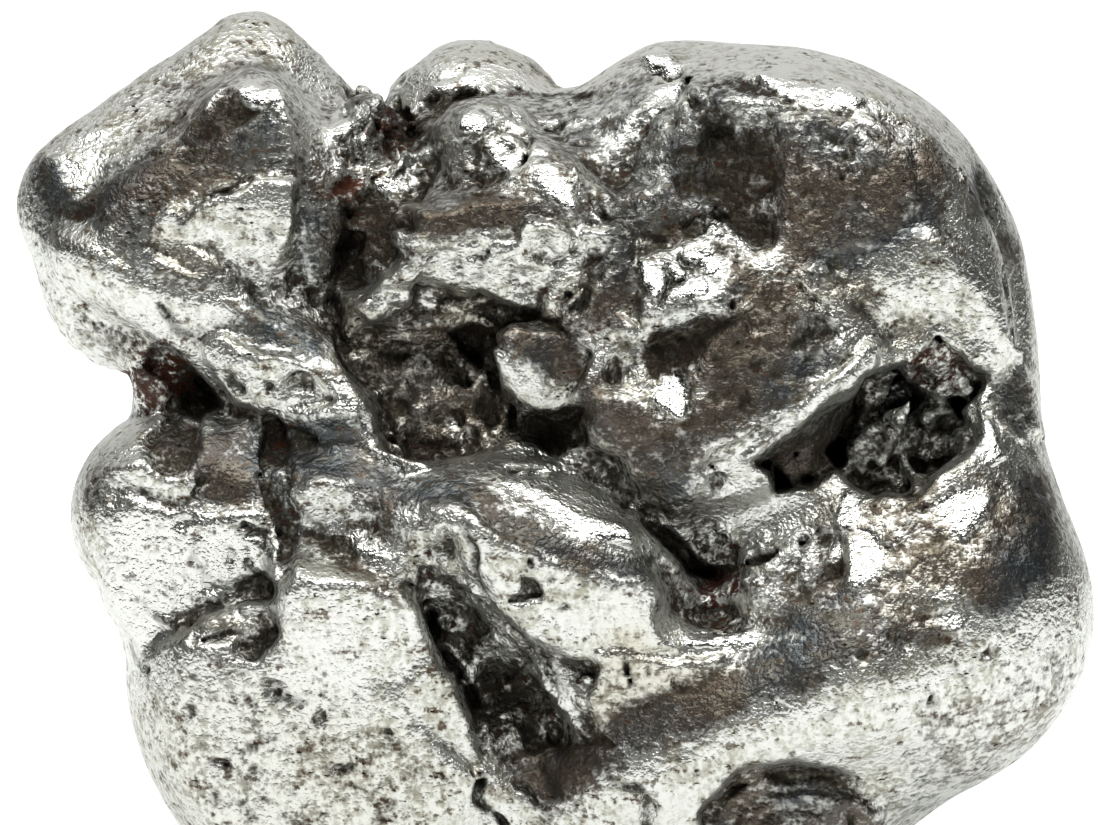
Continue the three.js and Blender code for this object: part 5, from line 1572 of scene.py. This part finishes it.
marks = dict(hollows, cutShade=sampled(cutShade, ends))
front = np.clip(axes[2] / 2 + 1, 0, 1)
for kind, layer in paint.items():
    marks[kind] = sampled(layer[:, :, None] * front[None, None, :], ends)
hidden = np.clip(-0.2 - ends[:, 2] / 3, 0, 1)
cloudy = sampled(grain["broad"], ends) * 0.3 + sampled(grain["middle"], ends) * 0.12
# a cloudy film, darker in clefts and crevices as painted shade
filmAndShade = 1.5 * cloudy + 0.9 * marks["cleft"] + 0.5 * marks["crevice"] - 0.3 * marks["edge"] + 0.02
filmAndShade = np.clip(filmAndShade, 0, behind["filmAndShade"])
marks["tarnish"] = np.maximum(marks["tarnish"], hidden * filmAndShade)
# grit behind is painted shade in the clefts
marks["grit"] = np.maximum(marks["grit"], hidden * np.clip(marks["cleft"] * 1.2 - 0.3, 0, 0.7))
marks["warm"] = marks["warm"] + hidden * sampled(grain["middle"], ends) * 0.4
for name, values in marks.items():
    layer = mesh.attributes.new(name, "FLOAT", "POINT")
    layer.data.foreach_set("value", values.astype(np.float32))

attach(surface, "root")
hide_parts("meteorite")


# A socket that can be worked with in plain expressions.
class Socket:
    def __init__(self, graph, out):
        self.graph, self.out = graph, out

    def math(self, operation, other=None, swapped=False):
        values = [self] if other is None else [other, self] if swapped else [self, other]
        return self.graph.add("ShaderNodeMath", {"operation": operation}, values)

    def __add__(self, other):
        return self.math("ADD", other)

    def __radd__(self, other):
        return self.math("ADD", other, True)

    def __sub__(self, other):
        return self.math("SUBTRACT", other)

    def __rsub__(self, other):
        return self.math("SUBTRACT", other, True)

    def __mul__(self, other):
        return self.math("MULTIPLY", other)

    def __rmul__(self, other):
        return self.math("MULTIPLY", other, True)

    def clamped(self):
        return self.math("MAXIMUM", 0.0).math("MINIMUM", 1.0)

    # 0 below low, 1 above high, and smooth between them
    def between(self, low, high):
        return self.graph.add(
            "ShaderNodeMapRange", {"interpolation_type": "SMOOTHSTEP"},
            {"Value": self, "From Min": low, "From Max": high},
        )


class Graph:
    def __init__(self, tree):
        self.tree = tree

    def add(self, kind, settings=None, values=None, output=0):
        node = self.tree.nodes.new(kind)
        for name, value in (settings or {}).items():
            setattr(node, name, value)
        pairs = values.items() if isinstance(values, dict) else enumerate(values or [])
        for name, value in pairs:
            self.feed(node.inputs[name], value)
        return Socket(self, node.outputs[output]) if len(node.outputs) else None

    def feed(self, into, value):
        if isinstance(value, Socket):
            self.tree.links.new(value.out, into)
        else:
            into.default_value = value

    def mark(self, name):
        return self.add("ShaderNodeAttribute", {"attribute_name": name}, output="Fac")

    def noise(self, place, scale, detail=3.0, roughness=0.55):
        return self.add("ShaderNodeTexNoise", {}, {
            "Vector": place, "Scale": scale, "Detail": detail, "Roughness": roughness})

    # inputs 6 and 7 and output 2 of a Mix node are its colours
    def blend(self, amount, first, second):
        return self.add(
            "ShaderNodeMix", {"data_type": "RGBA"}, {"Factor": amount, 6: first, 7: second}, 2)

    def stretched(self, place, sizes, turn=(0, 0, 0)):
        return self.add("ShaderNodeMapping", {}, {
            "Vector": place, "Scale": sizes, "Rotation": turn})


nickelIron = {
    "steel": (0.69, 0.695, 0.65, 1),
    "warmSteel": (0.37, 0.36, 0.285, 1),
    "goldSteel": (0.5, 0.45, 0.32, 1),
    "brownFilm": (0.07, 0.05, 0.036, 1),
    "blueFilm": (0.042, 0.05, 0.056, 1),
    "worn": (0.21, 0.205, 0.155, 1),
    # dirt colours, also used for the painted shade in the hollows
    "dirtAndShade": (0.11, 0.099, 0.07, 1),
    "deepDirtAndShade": (0.026, 0.022, 0.016, 1),
    "rust": (0.075, 0.028, 0.017, 1),
    "poreAndShade": (0.02, 0.018, 0.015, 1),
    "roughness": 0.33,
    "cloudScale": 220,  # noise cells to a metre
    "mottleScale": 900,
    "speckleScale": 3600,
    "poreScale": 1500.0,
    "bumpDepth": 0.00015,  # metres
}


def nickelIronFinish():
    metal = bpy.data.materials.new("wornNickelIron")
    metal.use_nodes = True
    shader = metal.node_tree.nodes["Principled BSDF"]
    g = Graph(metal.node_tree)
    place = g.add("ShaderNodeTexCoord", output="Object")

    smeared = g.stretched(place, (1, 1, 3.2), (0.3, 0.5, 0.2))
    cloud = g.noise(place, nickelIron["cloudScale"], 2).between(0.35, 0.65)
    mottle = g.noise(place, nickelIron["mottleScale"], 3, 0.7).between(0.32, 0.68)
    speckle = g.noise(place, nickelIron["speckleScale"], 2, 0.7).between(0.34, 0.66)
    smear = g.noise(smeared, nickelIron["mottleScale"], 2, 0.6).between(0.3, 0.7)

    cleft, crevice, edge = g.mark("cleft"), g.mark("crevice"), g.mark("edge")
    grit, rust, tarnish, cutShade = g.mark("grit"), g.mark("rust"), g.mark("tarnish"), g.mark("cutShade")
    shine, warm = g.mark("shine"), g.mark("warm")

    flecks = g.add("ShaderNodeTexVoronoi", {}, {
        "Vector": g.stretched(place, (1, 1, 2.6), (0.2, 0.6, 0)),
        "Scale": nickelIron["poreScale"], "Randomness": 1.0})
    pores = (0.18 - flecks + 0.14 * (speckle - 0.5)).between(0, 0.06)
    pores = pores * (cloud * smear).between(0.35, 0.6)

    # bare metal, darker where it is worn dull
    worn = (mottle * 0.5 + speckle * 0.4 + cloud * 0.25 - 0.3 - shine * 0.5).between(0, 1.0)
    color = g.blend(worn, nickelIron["steel"], nickelIron["warmSteel"])
    color = g.blend((warm * 0.6 * (1 - shine)).clamped(), color, nickelIron["goldSteel"])
    spots = (speckle * smear).between(0.5, 0.9) * (1 - shine)
    color = g.blend(spots * 0.6, color, nickelIron["dirtAndShade"])

    # the dark film, partly painted shade and dark reflection laid on by the tarnish mark, thin
    # where small grains stand through it
    filmAndShade = tarnish * 1.3 + (mottle + smear - 1) * 0.36 + (speckle - 0.5) * 0.32 - edge * 0.12
    filmAndShade = filmAndShade.between(0.1, 1.0) * (1 - (speckle * mottle).between(0.55, 0.95) * 0.42)
    brown = (cloud + warm * 0.8).clamped()
    filmColor = g.blend(brown, nickelIron["blueFilm"], nickelIron["brownFilm"])
    filmColor = g.blend((mottle * smear).between(0.35, 0.8) * 0.45, filmColor, nickelIron["worn"])
    color = g.blend(filmAndShade * 0.94, color, filmColor)

    # dirt and painted shade in the hollows, rust scabs, open pores, and painted shade in cracks and
    # pits over all
    dirtAndShade = crevice + cleft * 0.7 + grit * 0.8 + cutShade * 0.4 - shine * 0.5
    dirtAndShade = (dirtAndShade * (0.45 + 0.55 * (speckle + mottle)) - edge * 0.7).between(0.2, 1.05)
    depth = (mottle * 0.6 + speckle * 0.4 + cleft * 0.5 + grit * 0.35 - 0.2).clamped()
    dirtAndShadeColor = g.blend(depth, nickelIron["dirtAndShade"], nickelIron["deepDirtAndShade"])
    color = g.blend(dirtAndShade * 0.92, color, dirtAndShadeColor)
    scab = (rust * 1.2 + (mottle + speckle + smear - 1.5) * 0.5).between(0.3, 0.9)
    color = g.blend(scab * 0.9, color, nickelIron["rust"])
    # near-black for the open pores and for the painted shade in cracks and pits
    color = g.blend((pores + cutShade.between(0.6, 1.1) * 0.6).clamped(), color, nickelIron["poreAndShade"])
    g.feed(shader.inputs["Base Color"], color)
    dull = nickelIron["roughness"] + 0.1 * worn + filmAndShade * 0.08 + dirtAndShade * 0.15 + grit * 0.1
    dull = dull + scab * 0.2 - shine * 0.12
    g.feed(shader.inputs["Roughness"], dull.clamped())

    height = (mottle * 0.12 + speckle * (0.16 + grit * 0.3)) * (1 - tarnish * 0.4)
    g.feed(shader.inputs["Normal"], g.add("ShaderNodeBump", {}, {
        "Strength": 1.0, "Distance": nickelIron["bumpDepth"], "Height": height}))
    shader.inputs["Metallic"].default_value = 1.0
    return metal


print("making the finish")
mesh.materials.append(nickelIronFinish())

stage = {
    "floorColor": (0.80, 0.81, 0.81, 1),
    "floorRoughness": 0.7,
    "lampSize": (0.26, 0.14),
    "lampPower": 0.75,
    "lampTurns": (-52, 0, 52),  # degrees round the object
    "lampReach": 0.22,
    "lampHeight": 0.42,
    "roomLight": 1.6,
    "mirrorLight": (0.14, 1.15),  # what the metal reflects, from the front to the back of the room
    "backdropColor": (0.985, 1.0, 1.0, 1),
    "backdropLight": 1.12,
    "ringRadius": 0.2,
    "ringHeight": 0.17,
    "ringColor": (0.55, 0.51, 0.48, 1),
    "ringGlow": 0.035,
}


def staged(name, points, faces, material):
    shape = bpy.data.meshes.new(name)
    shape.from_pydata(points, [], faces)
    shape.materials.append(material)
    piece = bpy.data.objects.new(name, shape)
    bpy.context.scene.collection.objects.link(piece)
    return piece


print("setting the stage")
floorPaint = bpy.data.materials.new("paleFloor")
floorPaint.use_nodes = True
floorShader = floorPaint.node_tree.nodes["Principled BSDF"]
floorShader.inputs["Base Color"].default_value = stage["floorColor"]
floorShader.inputs["Roughness"].default_value = stage["floorRoughness"]
staged("floor", [(-3, -2, 0), (3, -2, 0), (3, 4, 0), (-3, 4, 0)], [(0, 1, 2, 3)], floorPaint)

# Dark cloth round three sides, seen only as a reflection in the metal.
cloth = bpy.data.materials.new("darkCloth")
cloth.use_nodes = True
cloth.node_tree.nodes.clear()
g = Graph(cloth.node_tree)
glow = g.add("ShaderNodeEmission", {}, {"Color": stage["ringColor"], "Strength": stage["ringGlow"]})
g.add("ShaderNodeOutputMaterial", {}, {"Surface": glow})
bend = [math.radians(a) for a in range(-140, 141, 10)]
radius = stage["ringRadius"]
lower = [(radius * math.sin(a), -radius * math.cos(a), 0.001) for a in bend]
upper = [(x, y, stage["ringHeight"]) for x, y, z in lower]
last = len(bend)
panels = [(n, n + 1, last + n + 1, last + n) for n in range(last - 1)]
ring = staged("darkRing", lower + upper, panels, cloth)
ring.visible_camera = False
ring.visible_diffuse = False
ring.visible_shadow = False

# A row of soft lamps overhead, turned round the object like one long curved panel.
for turn in stage["lampTurns"]:
    light = bpy.data.lights.new("panelLamp", "AREA")
    light.shape = "RECTANGLE"
    light.size, light.size_y = stage["lampSize"]
    light.energy = stage["lampPower"]
    lamp = bpy.data.objects.new("panelLamp", light)
    around = math.radians(turn)
    reach = stage["lampReach"]
    lamp.location = (reach * math.sin(around), -reach * math.cos(around), stage["lampHeight"])
    toObject = Vector((0, 0, 0.02)) - lamp.location
    lamp.rotation_euler = toObject.to_track_quat("-Z", "Y").to_euler()
    bpy.context.scene.collection.objects.link(lamp)

world = bpy.data.worlds.new("studio")
bpy.context.scene.world = world
world.use_nodes = True
world.node_tree.nodes.clear()
g = Graph(world.node_tree)
direction = g.add("ShaderNodeTexCoord", output="Generated")
backness = g.add("ShaderNodeSeparateXYZ", {}, [direction], "Y")
darkest, brightest = stage["mirrorLight"]
brightness = g.add("ShaderNodeMapRange", {}, {
    "Value": backness, "From Min": -0.75, "From Max": 0.1,
    "To Min": darkest, "To Max": brightest})
mirrored = g.add("ShaderNodeBackground", {}, {"Strength": brightness})
soft = g.add("ShaderNodeBackground", {}, {"Strength": stage["roomLight"]})
backdrop = g.add("ShaderNodeBackground", {}, {
    "Color": stage["backdropColor"], "Strength": stage["backdropLight"]})
diffuse = g.add("ShaderNodeLightPath", output="Is Diffuse Ray")
seen = g.add("ShaderNodeLightPath", output="Is Camera Ray")
room = g.add("ShaderNodeMixShader", {}, [diffuse, mirrored, soft])
room = g.add("ShaderNodeMixShader", {}, [seen, room, backdrop])
g.add("ShaderNodeOutputWorld", {}, {"Surface": room})

view = {
    "distance": 0.6,
    "frameWidth": 0.044,
    "elevation": 10.0,  # degrees
    "aimHigher": 0.0023,
    "exposure": -0.15,
}
tilt = math.radians(view["elevation"])
upward = Vector((0, math.sin(tilt), math.cos(tilt)))
backward = Vector((0, -math.cos(tilt), math.sin(tilt)))
target = Vector((0, 0, lump["standHeight"] * 0.001)) + upward * view["aimHigher"]
camera = bpy.data.objects.new("camera", bpy.data.cameras.new("camera"))
camera.data.lens = 36 * view["distance"] / view["frameWidth"]
camera.data.clip_start = 0.01
camera.location = target + backward * view["distance"]
camera.rotation_euler = (-backward).to_track_quat("-Z", "Y").to_euler()
bpy.context.scene.collection.objects.link(camera)
bpy.context.scene.camera = camera
tones = bpy.context.scene.view_settings
tones.view_transform = "Standard"
tones.look = "None"
tones.exposure = view["exposure"]
